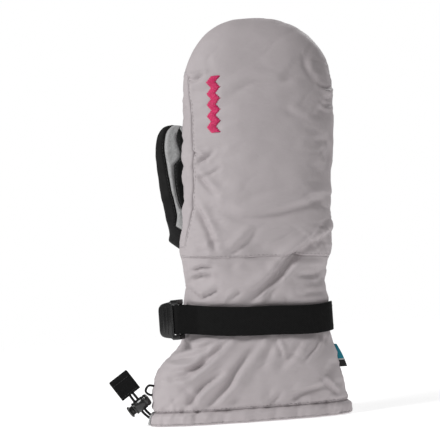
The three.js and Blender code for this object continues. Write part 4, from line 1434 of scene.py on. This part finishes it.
def thumb_grid():
    """Base points of the thumb: its columns follow the front panel, the band, the back and the strip."""
    stops = [THUMB.heights[0], STRIP_FROM, BAND_FROM, THUMB_DOME, BACK_TOP, FRONT_TOP, THUMB.tip[2]]
    heights = rows_through(stops, THUMB)

    def closing(top):
        low = THUMB_DOME + 1
        return np.sqrt(1 - np.clip((heights - low) / (top - low), 0, 1) ** 2)

    def behind(distances):
        edge = THUMB.level(heights)[0] + np.interp(heights, BAND_HEIGHTS, distances)
        return 360 - np.degrees(THUMB.angle_at(heights, edge))

    front_low = STRIP_END - END_MOVES * closing(FRONT_TOP)
    front_high = behind(BAND_STARTS)
    back_low = np.maximum(behind(BAND_ENDS), front_high + 4)
    back_high = np.maximum(STRIP_START + START_MOVES * closing(BACK_TOP), back_low + 4)
    bounds = np.radians([front_low, front_high, back_low, back_high, front_low + 360])
    angle = columns_between(bounds, THUMB_COUNTS)
    return heights, angle, THUMB.point(heights[:, None] + 0 * angle, angle)


def thumb_depths(heights, points):
    around = arc_lengths(points, 1)
    upward = arc_lengths(points, 0)
    rows = heights[:, None] + 0 * upward
    depth = 0.55 * wobble(points, 17.0, 21) + 0.25 * wobble(points, 8.0, 22)
    seams = ((0, STRIP_FROM, FRONT_TOP), (BAND_OUTER, BAND_FROM, FRONT_TOP),
             (BACK_FROM, BAND_FROM, BACK_TOP), (BAND_INNER, STRIP_FROM, BACK_TOP))
    for seed, (column, low, high) in enumerate(seams):
        distance = column_distance(around, column)
        where = between(rows, low, high + 2, 2)
        depth += where * seam_line(distance, upward, 0.8, 4.0, 0.5, seed + 31, width=1.2)
    flat = points[..., [0, 2]].reshape(-1, 2)
    return depth + 0.5 * folds_on_form(flat, THUMB, THUMB_FOLDS).reshape(depth.shape)


def palm_surface(x, z):
    """The palm's base surface: its Y at places seen from the front."""
    thumb, little, _, palm, middle = HAND.level(z)
    across = np.clip(np.abs(x - (thumb + little) / 2) / ((little - thumb) / 2), 0, 1)
    return middle + palm * (1 - across ** ROUNDNESS) ** (1 / ROUNDNESS)


def buried_in_hand(points):
    """Which points of the thumb's root lie so deep in the palm that they are left out."""
    x, y, z = np.moveaxis(points, -1, 0)
    return (y < palm_surface(x, z) - 2.5) & (z < THUMB_FREE + 6)


def thumb():
    """The thumb's panels and inner layers: name, node, material, slot, blocks, thickness, inset."""
    heights, _, base = thumb_grid()
    skin = base + normals_of(base) * thumb_depths(heights, base)[..., None]
    grid = (skin, normals_of(skin))
    hidden = buried_in_hand(skin)
    strip, band, back_top = named_rows(heights, strip=STRIP_FROM, band=BAND_FROM, top=BACK_TOP).values()
    top = len(heights) - 1
    front = [(0, band, 0, BACK_FROM), (band, top, 0, BAND_OUTER)]
    back = [(0, top, BACK_FROM, BAND_INNER), (0, strip, BAND_INNER, THUMB_COLUMNS)]
    wipe = [(band, top, BAND_OUTER, BACK_FROM), (strip, top, BAND_INNER, THUMB_COLUMNS)]
    inside = [(band, top, 0, THUMB_COLUMNS)]
    layers = [
        ("thumb_front_panel", "thumb_front", SOFT_BLACK, "softshell_black", front, 1.0, 0),
        ("thumb_back_panel", "thumb_back", SOFT_BLACK, "softshell_black", back, 1.0, 0),
        ("thumb_wipe_band", "thumb_strip", WIPE, "thumb_wipe", wipe, 1.0, 0),
        ("thumb_filling", "thumb_insulation", FILLING, "insulation", inside, 1.2, 1.6),
        ("thumb_insert", "thumb_membrane", MEMBRANE, "membrane", inside, 0.4, 3.2),
        ("thumb_fleece_lining", "thumb_lining", FLEECE, "fleece", inside, 0.9, 4.0),
    ]
    for name, node, material, slot, blocks, thickness, inset in layers:
        stride = 3 if inset else 1
        piece = sheet(name, blocks, material, grid, thickness, inset, stride, skip=hidden)
        at_thumb(piece, slot, node)
    lines = []
    for column, offset in ((0, 1.7), (BAND_OUTER, -1.7), (BACK_FROM, 1.7), (BAND_INNER, -1.7)):
        path, out = column_path(grid, column, offset, band + 2, back_top - 2)
        lines += stitches(path, out, 2.2, 1.0, 0.22)
    at_thumb(solid_piece("thumb_topstitching", lines, BLACK_THREAD), "thread")


thumb()

# ---- Wrist strap and buckle ----------------------------------------------------------------------

JOINTS = {joint["name"]: joint for joint in frame["joints"]}
BUCKLE_BAR = np.array(JOINTS["buckle_tilt"]["pos_m"]) / MM
ANCHOR_BAR = BUCKLE_BAR + (3.9, 7.3, 0)
BAR_RADIUS = 1.5
WEBBING_THICK = 1.4
FOLD_RADIUS = BAR_RADIUS + 0.3 + WEBBING_THICK / 2
STRAP_RING = 84.0        # the height whose outline the strap follows
LEAVES_AT = -134         # degrees round the cuff at which it leaves for the buckle


def round_cuff(outset, start, end, steps):
    """Points round the back of the cuff, held off its surface."""
    angle = np.radians(np.linspace(start, end, steps)) % (2 * np.pi)
    return HAND.point(np.full(steps, STRAP_RING), angle, -outset)[:, :2]


def arc(middle, radius, start, end, steps=14):
    turn = np.radians(np.linspace(start, end, steps))
    return np.stack([middle[0] + radius * np.cos(turn), middle[1] + radius * np.sin(turn)], 1)


def even_path(flat, step=1.2):
    """A flat XY path resampled to even steps and rounded a little."""
    along = arc_lengths(flat[None], 1)[0]
    at = np.linspace(0, along[-1], max(3, round(along[-1] / step)))
    line = np.stack([np.interp(at, along, flat[:, k]) for k in range(2)], 1)
    for _ in range(3):
        line[1:-1] = (line[:-2] + 2 * line[1:-1] + line[2:]) / 4
    return line


def strap_band(flat):
    """Webbing on edge along an XY path, at the strap's height."""
    line = even_path(flat)
    path = np.column_stack([line, strap_height(line[:, 0])])
    turned = np.gradient(line, axis=0)
    out = np.column_stack([-turned[:, 1], turned[:, 0], np.zeros(len(line))])
    return sweep_parts(path, out, band_section(WEBBING_THICK, WEBBING_WIDTH - 0.6))


def wrist_strap():
    """Webbing sewn at the little-finger seam, passed round the buckle's bar and laid back on itself."""
    under = round_cuff(1.3, -1, LEAVES_AT, 90)
    round_the_bar = arc(BUCKLE_BAR, FOLD_RADIUS, 90, 270)
    over = round_cuff(3.3, LEAVES_AT, -9, 90)
    sewn_end = round_cuff(2.7, -6, 1, 8)
    flat = np.concatenate([under, round_the_bar, over, sewn_end])
    strap = solid_piece("wrist_webbing", [strap_band(flat)], WEBBING)
    on_body(strap, "cuff", "webbing", "wrist_strap")
    rows = []
    for offset in (-8.5, 8.5):
        line = even_path(round_cuff(4.2, -16, -8, 12), 0.8)
        path = np.column_stack([line, strap_height(line[:, 0]) + offset])
        rows += stitches(path, np.tile((1.0, -0.3, 0), (len(path), 1)), 2.0, 0.8, 0.25)
    on_body(solid_piece("strap_end_stitching", rows, BLACK_THREAD), "cuff", "thread")


def strap_anchor():
    """A loop of webbing round the anchor bar, with its tail sewn to the side seam."""
    middle = ANCHOR_BAR[:2] + (-2.1, 0.6)
    radius = BAR_RADIUS + 0.7 + WEBBING_THICK / 2
    tail = centre("strap_anchor")[1] + 7
    loop = np.concatenate([
        [middle + (0, radius)],
        arc(middle + (-2.1, 0), radius, 90, 270),
        arc(middle + (2.1, 0), radius, -90, 86),
        [middle + (0.3, radius + 1.3), (middle[0] + 1.0, tail)],
        [(middle[0] + 2.2, corner("strap_anchor", 1)[1])],
    ])
    anchor = solid_piece("anchor_webbing", [strap_band(loop)], WEBBING)
    on_body(anchor, "cuff", "webbing", "strap_anchor")


def prism(outline, low, high, axis, bevel):
    """A closed outline extruded along an axis, with rounded edges. Returns its parts."""
    outline = np.asarray(outline, float)
    others = [k for k in range(3) if k != axis]
    count = len(outline)
    points = np.zeros((2 * count, 3))
    points[:, others] = np.concatenate([outline, outline])
    points[:count, axis] = low
    points[count:, axis] = high
    edit = bmesh.new()
    made = [edit.verts.new(p) for p in points]
    edit.faces.new(made[:count][::-1])
    edit.faces.new(made[count:])
    for i in range(count):
        j = (i + 1) % count
        edit.faces.new((made[i], made[j], made[count + j], made[count + i]))
    bmesh.ops.recalc_face_normals(edit, faces=edit.faces)
    sharp = [edge for edge in edit.edges if edge.calc_face_angle(0) > math.radians(35)]
    bmesh.ops.bevel(edit, geom=sharp, offset=bevel, segments=3, profile=0.5, affect="EDGES")
    edit.verts.index_update()
    points = np.array([v.co for v in edit.verts])
    faces = [tuple(v.index for v in face.verts) for face in edit.faces]
    edit.free()
    return points, faces, points[:, :2]


def rounded_corners(corners, radii, steps=6):
    """An outline with each corner replaced by an arc of its own radius."""
    corners = np.asarray(corners, float)
    out = []
    for k, (point, radius) in enumerate(zip(corners, radii)):
        before = corners[k - 1] - point
        after = corners[(k + 1) % len(corners)] - point
        a = point + before / np.linalg.norm(before) * radius
        b = point + after / np.linalg.norm(after) * radius
        for t in np.linspace(0, 1, steps if radius > 0 else 1):
            out.append(a * (1 - t) ** 2 + 2 * point * t * (1 - t) + b * t * t)
    return np.array(out)


RAIL_HEIGHT = 4.1
LEVER_RIBS = ((3.2, 21.0), (6.1, 24.0))    # distance from the lever's tip, and length


def buckle_lever(start, tip, low, high):
    """The lever's rounded plate and the ribs on its face."""
    y = BUCKLE_BAR[1]
    plate = rounded_corners(
        [(start + 0.4, low + 1), (start + 0.4, high - 1), (tip, high - 3.2), (tip, low + 3.2)],
        [0.6, 0.6, 5.5, 5.5])
    parts = [prism(plate, y - 1.5, y + 1.1, 1, 0.75)]
    middle = (low + high) / 2
    for away, length in LEVER_RIBS:
        left, right = tip + away, tip + away + 1.5
        bottom, top = middle - length / 2, middle + length / 2
        rib = rounded_corners([(left, bottom), (right, bottom), (right, top), (left, top)], [0.6] * 4, 4)
        parts.append(prism(rib, y - 2.2, y - 1.2, 1, 0.35))
    return parts


def rail_outline(start):
    """A side rail seen from above: it runs from the lever past both bars."""
    x, y = BUCKLE_BAR[:2]
    anchor_x, anchor_y = ANCHOR_BAR[:2]
    corners = [(start - 1.0, y - 1.9), (x + 1.2, y - 2.3), (x + 3.4, y + 1.0),
               (anchor_x + 2.4, anchor_y), (anchor_x + 0.6, anchor_y + 2.4),
               (anchor_x - 2.2, anchor_y + 0.8), (x - 2.3, y + 1.9), (start - 1.0, y + 1.4)]
    return rounded_corners(corners, [0.8, 1.5, 1.5, 1.4, 1.4, 1.4, 1.5, 0.6], 5)


def buckle():
    """A ladder-lock buckle: two side rails, three bars and the lifting lever."""
    x, y = BUCKLE_BAR[:2]
    (tip, _, low), (_, _, high) = corner("buckle", 0), corner("buckle", 1)
    raised = strap_height(x) - (low + high) / 2
    low, high = low + raised, high + raised
    start = x - FOLD_RADIUS - WEBBING_THICK
    parts = buckle_lever(start, tip, low, high)
    for bottom in (low, high - RAIL_HEIGHT):
        parts.append(prism(rail_outline(start), bottom, bottom + RAIL_HEIGHT, 2, 0.7))
    reach = np.linspace(low + 1.0, high - 1.0, 12)
    for bar_x, bar_y in (BUCKLE_BAR[:2], ANCHOR_BAR[:2], (start - 0.3, y - 0.4)):
        path = np.column_stack([np.full(12, bar_x), np.full(12, bar_y), reach])
        parts.append(tube(path, BAR_RADIUS, 16, (1, 0, 0)))
    on_body(solid_piece("strap_buckle", parts, PLASTIC), "buckle", "moulded_plastic", "buckle")


wrist_strap()
strap_anchor()
buckle()

# ---- Draw cord, its lock and pull tab ------------------------------------------------------------

CORD_WAY = np.array(JOINTS["lock_slide"]["axis"], float)
BUTTON_WAY = np.array(JOINTS["lock_press"]["axis"], float) * -1
TAB_MIDDLE = centre("cord_pull_tab")
LOCK_MIDDLE = TAB_MIDDLE - CORD_WAY * 21.5
ACROSS = np.array((0.0, 1.0, 0.0))    # square to both the cord and the button
TAB_HALF = 9.5           # half the pull tab's length along the cord
TAB_WIDTH = 19.0
STRAND_GAP = 1.5         # from the middle between the two strands to each of them
CORD_RADIUS = 1.1
OUTLET_HEIGHT = 6.5      # of the place where the cord leaves the hem
OUTLET = SKIN[row_at(HEIGHTS, OUTLET_HEIGHT), THUMB_EDGE]


def draw_cord():
    """Two strands leave the hem's edge, pass the lock and end under the pull tab."""
    parts = []
    for side in (-STRAND_GAP, STRAND_GAP):
        shift = BUTTON_WAY * side
        stops = [
            OUTLET + (9, 0, -1.5),
            OUTLET + (2.5, 0, -0.3) + shift * 0.8,
            LOCK_MIDDLE - CORD_WAY * 8.5 + shift,
            LOCK_MIDDLE + shift,
            LOCK_MIDDLE + CORD_WAY * 7 + shift * 1.25 + ACROSS * side * 0.35,
            TAB_MIDDLE - CORD_WAY * 6 + shift,
            TAB_MIDDLE + CORD_WAY * 5 + shift,
        ]
        parts.append(tube(spline(stops, 9), CORD_RADIUS, 14, (0.1, 1, 0.1)))
    turn = np.linspace(0, 2 * np.pi, 181)[:-1]
    channel = HAND.point(np.full_like(turn, 5.6), turn, HEM_DEPTH / 2 + 0.1)
    parts.append(tube(channel, CORD_RADIUS, 8, (0, 0, 1), closed=True))
    on_body(solid_piece("elastic_draw_cord", parts, CORD), "cuff", "elastic_cord", "draw_cord")


def revolve(profile, middle, axis):
    """A profile of (distance along the axis, radius) turned about it. Returns its parts."""
    steps = 36
    axis = np.asarray(axis, float) / np.linalg.norm(axis)
    first = np.cross(axis, (0, 1, 0))
    first /= np.linalg.norm(first)
    second = np.cross(axis, first)
    turns = np.arange(steps) / steps * 2 * math.pi
    rim = np.cos(turns)[:, None] * first + np.sin(turns)[:, None] * second
    points = np.concatenate([middle + axis * a + rim * max(r, 0.02) for a, r in profile])
    faces = ring_faces(len(profile), steps) + end_faces(len(profile), steps)
    uvs = np.stack([np.repeat([a for a, _ in profile], steps), np.tile(turns * 5, len(profile))], 1)
    return points, faces, uvs


BARREL = [(-9.8, 0), (-9.8, 3.4), (-9.5, 4.4), (-8.8, 5.1), (-7.8, 5.4), (-6.4, 5.5), (-6.1, 5.1),
          (-5.5, 5.1), (-5.2, 5.5), (-3.8, 5.6), (3.2, 5.6), (3.6, 5.2), (4.2, 5.2), (4.6, 5.6),
          (5.4, 5.5), (5.9, 5.1), (6.0, 4.6), (5.6, 4.3), (-8.4, 4.25), (-8.6, 0)]
BUTTON = [(-4.1, 0), (-4.1, 3.7), (-3.7, 4.0), (8.6, 4.0), (9.0, 4.4), (9.1, 5.0), (9.5, 5.35),
          (10.6, 5.2), (11.0, 4.6), (11.2, 3.6), (10.9, 2.6), (10.8, 0)]
COIL_FROM, COIL_TO = -8.2, -7.1
COIL_RADIUS, COIL_TURNS = 2.6, 3


def cord_lock():
    """A barrel with a sprung button in it. Both outlines are (distance along the axis, radius)."""
    barrel = solid_piece("cord_lock_barrel", [revolve(BARREL, LOCK_MIDDLE, BUTTON_WAY)], PLASTIC)
    on_body(barrel, "lock", "moulded_plastic", "cord_lock_body")
    button = solid_piece("cord_lock_push_button", [revolve(BUTTON, LOCK_MIDDLE, BUTTON_WAY)], PLASTIC)
    on_body(button, "lock_button", "moulded_plastic", "cord_lock_button")
    turn = np.linspace(0, COIL_TURNS * 2 * math.pi, 90)[:, None]
    first = np.cross(BUTTON_WAY, ACROSS)
    rim = COIL_RADIUS * (np.cos(turn) * first + np.sin(turn) * np.cross(BUTTON_WAY, first))
    path = LOCK_MIDDLE + BUTTON_WAY * np.linspace(COIL_FROM, COIL_TO, 90)[:, None] + rim
    coil = solid_piece("cord_lock_coil", [tube(path, 0.15, 8, BUTTON_WAY)], STEEL)
    on_body(coil, "lock", "spring_steel", "cord_lock_spring")


def pull_tab():
    """A strip of webbing folded over the cord's end and stitched through."""
    wall = 1.5
    half_gap = CORD_RADIUS + 0.3 + wall / 2
    straight = np.linspace(-TAB_HALF, TAB_HALF - half_gap, 12)
    bend = arc((TAB_HALF - half_gap, 0), half_gap, -90, 90, 12)[1:-1]
    flat = np.concatenate([
        np.column_stack([straight, np.full(12, -half_gap)]),
        bend,
        np.column_stack([straight[::-1], np.full(12, half_gap)]),
    ])
    path = TAB_MIDDLE + flat[:, :1] * CORD_WAY + flat[:, 1:] * ACROSS
    turned = np.gradient(flat, axis=0)
    out = turned[:, 1:] * CORD_WAY - turned[:, :1] * ACROSS
    parts = [sweep_parts(path, out, band_section(wall, TAB_WIDTH))]
    on_body(solid_piece("pull_tab", parts, WEBBING), "cuff", "webbing", "cord_pull_tab")
    rows = []
    reach = np.linspace(1.1 - TAB_WIDTH / 2, TAB_WIDTH / 2 - 1.1, 20)[:, None]
    surface = half_gap + wall / 2
    for face in (-1, 1):
        for place in (-TAB_HALF + 2.0, TAB_HALF - 4.5):
            line = TAB_MIDDLE + CORD_WAY * place + ACROSS * face * surface + reach * BUTTON_WAY
            rows += stitches(line, np.tile(ACROSS * face, (20, 1)), 2.0, 0.8, 0.24)
    on_body(solid_piece("pull_tab_stitching", rows, BLACK_THREAD), "cuff", "thread")


def tether():
    """A loop of cord out of the side seam, open to the lock."""
    left, _, bottom = corner("cord_lock_tether", 0)
    right, _, top = corner("cord_lock_tether", 1)
    middle = centre("cord_lock_tether")[1]
    stops = [
        (right + 1.5, middle, top - 1),
        (left + 4, middle - 1.0, top),
        (left + 1, middle - 0.5, top - 3.4),
        (left + 1.6, middle + 0.8, bottom + 2.6),
        (left + 5, middle + 0.6, bottom + 0.6),
        (right + 1.5, middle, bottom + 1),
    ]
    loop = tube(spline(stops, 10), 1.0, 12, ACROSS)
    on_body(solid_piece("lock_tether_loop", [loop], CORD), "cuff", "elastic_cord", "cord_lock_tether")


def cord_outlet():
    """The stitched patch and the eyelet where the cord leaves the hem."""
    lifted = (SKIN + SKIN_NORMALS, SKIN_NORMALS)
    low, high = row_at(HEIGHTS, 1.6), row_at(HEIGHTS, 10.6)
    patch = sheet("cord_outlet_patch", [(low, high, THUMB_EDGE - 5, THUMB_EDGE + 6)], WIPE, lifted, 0.8)
    on_body(patch, "cuff", "thumb_wipe", "cord_exit_tab")
    turn = np.arange(40) / 40 * 2 * math.pi
    ring = OUTLET + np.stack([-1.1 + 0 * turn, 3.0 * np.cos(turn), 3.8 * np.sin(turn)], 1)
    eyelet = solid_piece("cord_eyelet", [tube(ring, 0.8, 12, (1, 0, 0), closed=True)], PLASTIC)
    on_body(eyelet, "cuff", "moulded_plastic")
    rows = []
    for row, offset in ((low, 1.2), (high, -1.2)):
        rows += stitches(*row_path(lifted, row, offset, THUMB_EDGE - 4, THUMB_EDGE + 5), 1.8, 0.8, 0.24)
    on_body(solid_piece("outlet_stitching", rows, GREY_THREAD), "cuff", "thread")


draw_cord()
cord_lock()
pull_tab()
tether()
cord_outlet()

# ---- Tapes and the elastic -----------------------------------------------------------------------


TAG_REACH = 6.0          # how far the tag stands out of the seam at its lower end
TAG_ROWS = 18
TAG_DARK_ROWS = 5        # its lowest rows are dark, and the row above them is the stripe


def side_tag():
    """A folded tape in the side seam, wider at its lower end, which is dark under a pale stripe."""
    low, high = corner("side_tag", 0)[2], corner("side_tag", 1)[2]
    z = np.linspace(low, high, TAG_ROWS)[:, None]
    _, edge, _, _, middle = HAND.level(z)
    run = np.linspace(-1.5, TAG_REACH - 0.8, 14)
    out = np.concatenate([run, [TAG_REACH - 0.2] * 2, run[::-1]])
    side = np.concatenate([np.full(14, -0.75), [-0.45, 0.45], np.full(14, 0.75)])
    taper = np.linspace(1.0, 0.35, TAG_ROWS)[:, None]
    wave = 0.5 * np.sin(np.linspace(0, 5, TAG_ROWS))[:, None]
    x = edge + np.minimum(out, out * taper)
    y = middle + side + wave * np.maximum(out, 0) / TAG_REACH
    points = np.stack([x, y, z + 0 * x], -1).reshape(-1, 3)
    count = len(out)
    faces = [(a, a + 1, a + count + 1, a + count)
             for row in range(TAG_ROWS - 1) for a in range(row * count, (row + 1) * count - 1)]
    finish = np.repeat([2] * TAG_DARK_ROWS + [1] + [0] * (TAG_ROWS - 2 - TAG_DARK_ROWS), count - 1)
    uvs = np.stack([np.tile(np.arange(count) * 0.7, TAG_ROWS), np.repeat(z, count)], 1)
    piece = link("folded_side_tag", mesh_of("folded_side_tag", points, faces, uvs), TAPE)
    piece.data.materials.append(TAPE_STRIPE)
    piece.data.materials.append(LABEL)
    piece.data.polygons.foreach_set("material_index", finish)
    thicken(piece, 0.55)
    on_body(apply_modifiers(piece), "cuff", "side_tape", "side_tag")


def hem_label():
    """A plain woven tape, folded once and sewn inside the hem."""
    (left, _, bottom), (right, _, top) = corner("hem_label", 0), corner("hem_label", 1)
    x, y = centre("hem_label")[:2]
    drop = np.linspace(top, bottom + 1.0, 10)
    front = [(x, y - 0.5, z) for z in drop]
    back = [(x, y + 0.5, z) for z in drop[::-1]]
    path = np.array([*front, (x, y, bottom + 0.3), *back])
    out = np.array([(0, -1, 0)] * 10 + [(0, 0, -1)] + [(0, 1, 0)] * 10, float)
    tape = sweep_parts(path, out, band_section(0.5, right - left))
    on_body(solid_piece("folded_hem_label", [tape], LABEL), "cuff", "fleece", "hem_label")


def wrist_elastic():
    """A woven elastic band inside the palm side of the wrist."""
    low, high = corner("wrist_elastic", 0)[2], corner("wrist_elastic", 1)[2]
    block = (row_at(HEIGHTS, low), row_at(HEIGHTS, high), LITTLE_EDGE + 4, COLUMNS + THUMB_EDGE - 4)
    piece = sheet("wrist_elastic_band", [block], ELASTIC, layer_grid(1.25, 1.0), 0.5)
    at_wrist(piece, "elastic", "wrist_elastic")


side_tag()
hem_label()
wrist_elastic()

# ---- Stage ---------------------------------------------------------------------------------------

FRAME_WIDTH = 440 * 0.876 * MM    # the photo's 440 pixels, at 0.876 mm each
LENS, SENSOR = 150.0, 36.0
ROLL = 4.0               # degrees by which the photo's mitten leans
AMBIENT = 0.27
FLOOR_GLOW = 0.50
FLOOR_RINGS = (0.0, 0.15, 0.4, 0.8, 1.2, 1.6)
FLOOR_SIDES = 96
LAMPS = {                # offset from the mitten's middle in metres, size and power
    "key": ((-1.3, -0.65, 1.0), 0.55, 22),
    "fill": ((1.4, -1.2, 0.5), 1.4, 3),
    "rear": ((0.9, 1.4, 1.1), 0.8, 13),
}


def place_camera(middle):
    """The photo looks straight at the back of the hand, with a long lens."""
    camera = bpy.data.objects.new("camera", bpy.data.cameras.new("camera"))
    camera.data.lens = LENS
    camera.data.sensor_width = SENSOR
    camera.location = middle - Vector((0, LENS / SENSOR * FRAME_WIDTH, 0))
    upright = Matrix.Rotation(math.radians(90), 3, "X")
    camera.rotation_euler = (upright @ Matrix.Rotation(math.radians(-ROLL), 3, "Z")).to_euler()
    bpy.context.scene.collection.objects.link(camera)
    bpy.context.scene.camera = camera


def light_world():
    """White to the camera, and a dimmer white as light."""
    world = bpy.data.worlds.new("studio")
    world.use_nodes = True
    nodes, links = world.node_tree.nodes, world.node_tree.links
    background = nodes["Background"]
    background.inputs["Color"].default_value = (1, 1, 1, 1)
    seen = nodes.new("ShaderNodeLightPath")
    strength = nodes.new("ShaderNodeMapRange")
    strength.inputs["To Min"].default_value = AMBIENT
    strength.inputs["To Max"].default_value = 1.0
    links.new(seen.outputs["Is Camera Ray"], strength.inputs["Value"])
    links.new(strength.outputs["Result"], background.inputs["Strength"])
    bpy.context.scene.world = world


def lay_floor():
    """A round pale floor that fades into the white surroundings."""
    turns = np.arange(FLOOR_SIDES) / FLOOR_SIDES * 2 * math.pi
    points = [(r * math.cos(t), r * math.sin(t), 0) for r in FLOOR_RINGS for t in turns]
    faces = ring_faces(len(FLOOR_RINGS), FLOOR_SIDES)
    pale = Recipe("pale floor", gray(0.86), 0.85)
    pale.tint(pale.noise(900.0), 0.977)
    distance = pale.node("ShaderNodeVectorMath")
    distance.operation = "LENGTH"
    pale.join(pale.places["Object"], distance.inputs[0])
    pale.join(pale.spread(distance.outputs["Value"], 1, 0, 0.35, 1.3), pale.bsdf.inputs["Alpha"])
    pale.bsdf.inputs["Emission Color"].default_value = (1, 1, 1, 1)
    pale.bsdf.inputs["Emission Strength"].default_value = FLOOR_GLOW
    floor = link("floor", mesh_of("floor", np.array(points) / MM, faces), pale.done())
    floor.location.z = -0.3 * MM
    floor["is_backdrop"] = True


def hang_lamps(middle):
    for name, (offset, size, power) in LAMPS.items():
        light = bpy.data.lights.new(name, "AREA")
        light.size = size
        light.energy = power
        lamp = bpy.data.objects.new(name, light)
        lamp.location = middle + Vector(offset)
        lamp.rotation_euler = (-Vector(offset)).to_track_quat("-Z", "Y").to_euler()
        bpy.context.scene.collection.objects.link(lamp)


def stage():
    low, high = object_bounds()
    middle = (Vector(low) + Vector(high)) / 2
    place_camera(middle)
    lay_floor()
    hang_lamps(middle)
    light_world()
    bpy.context.scene.view_settings.view_transform = "Standard"


stage()
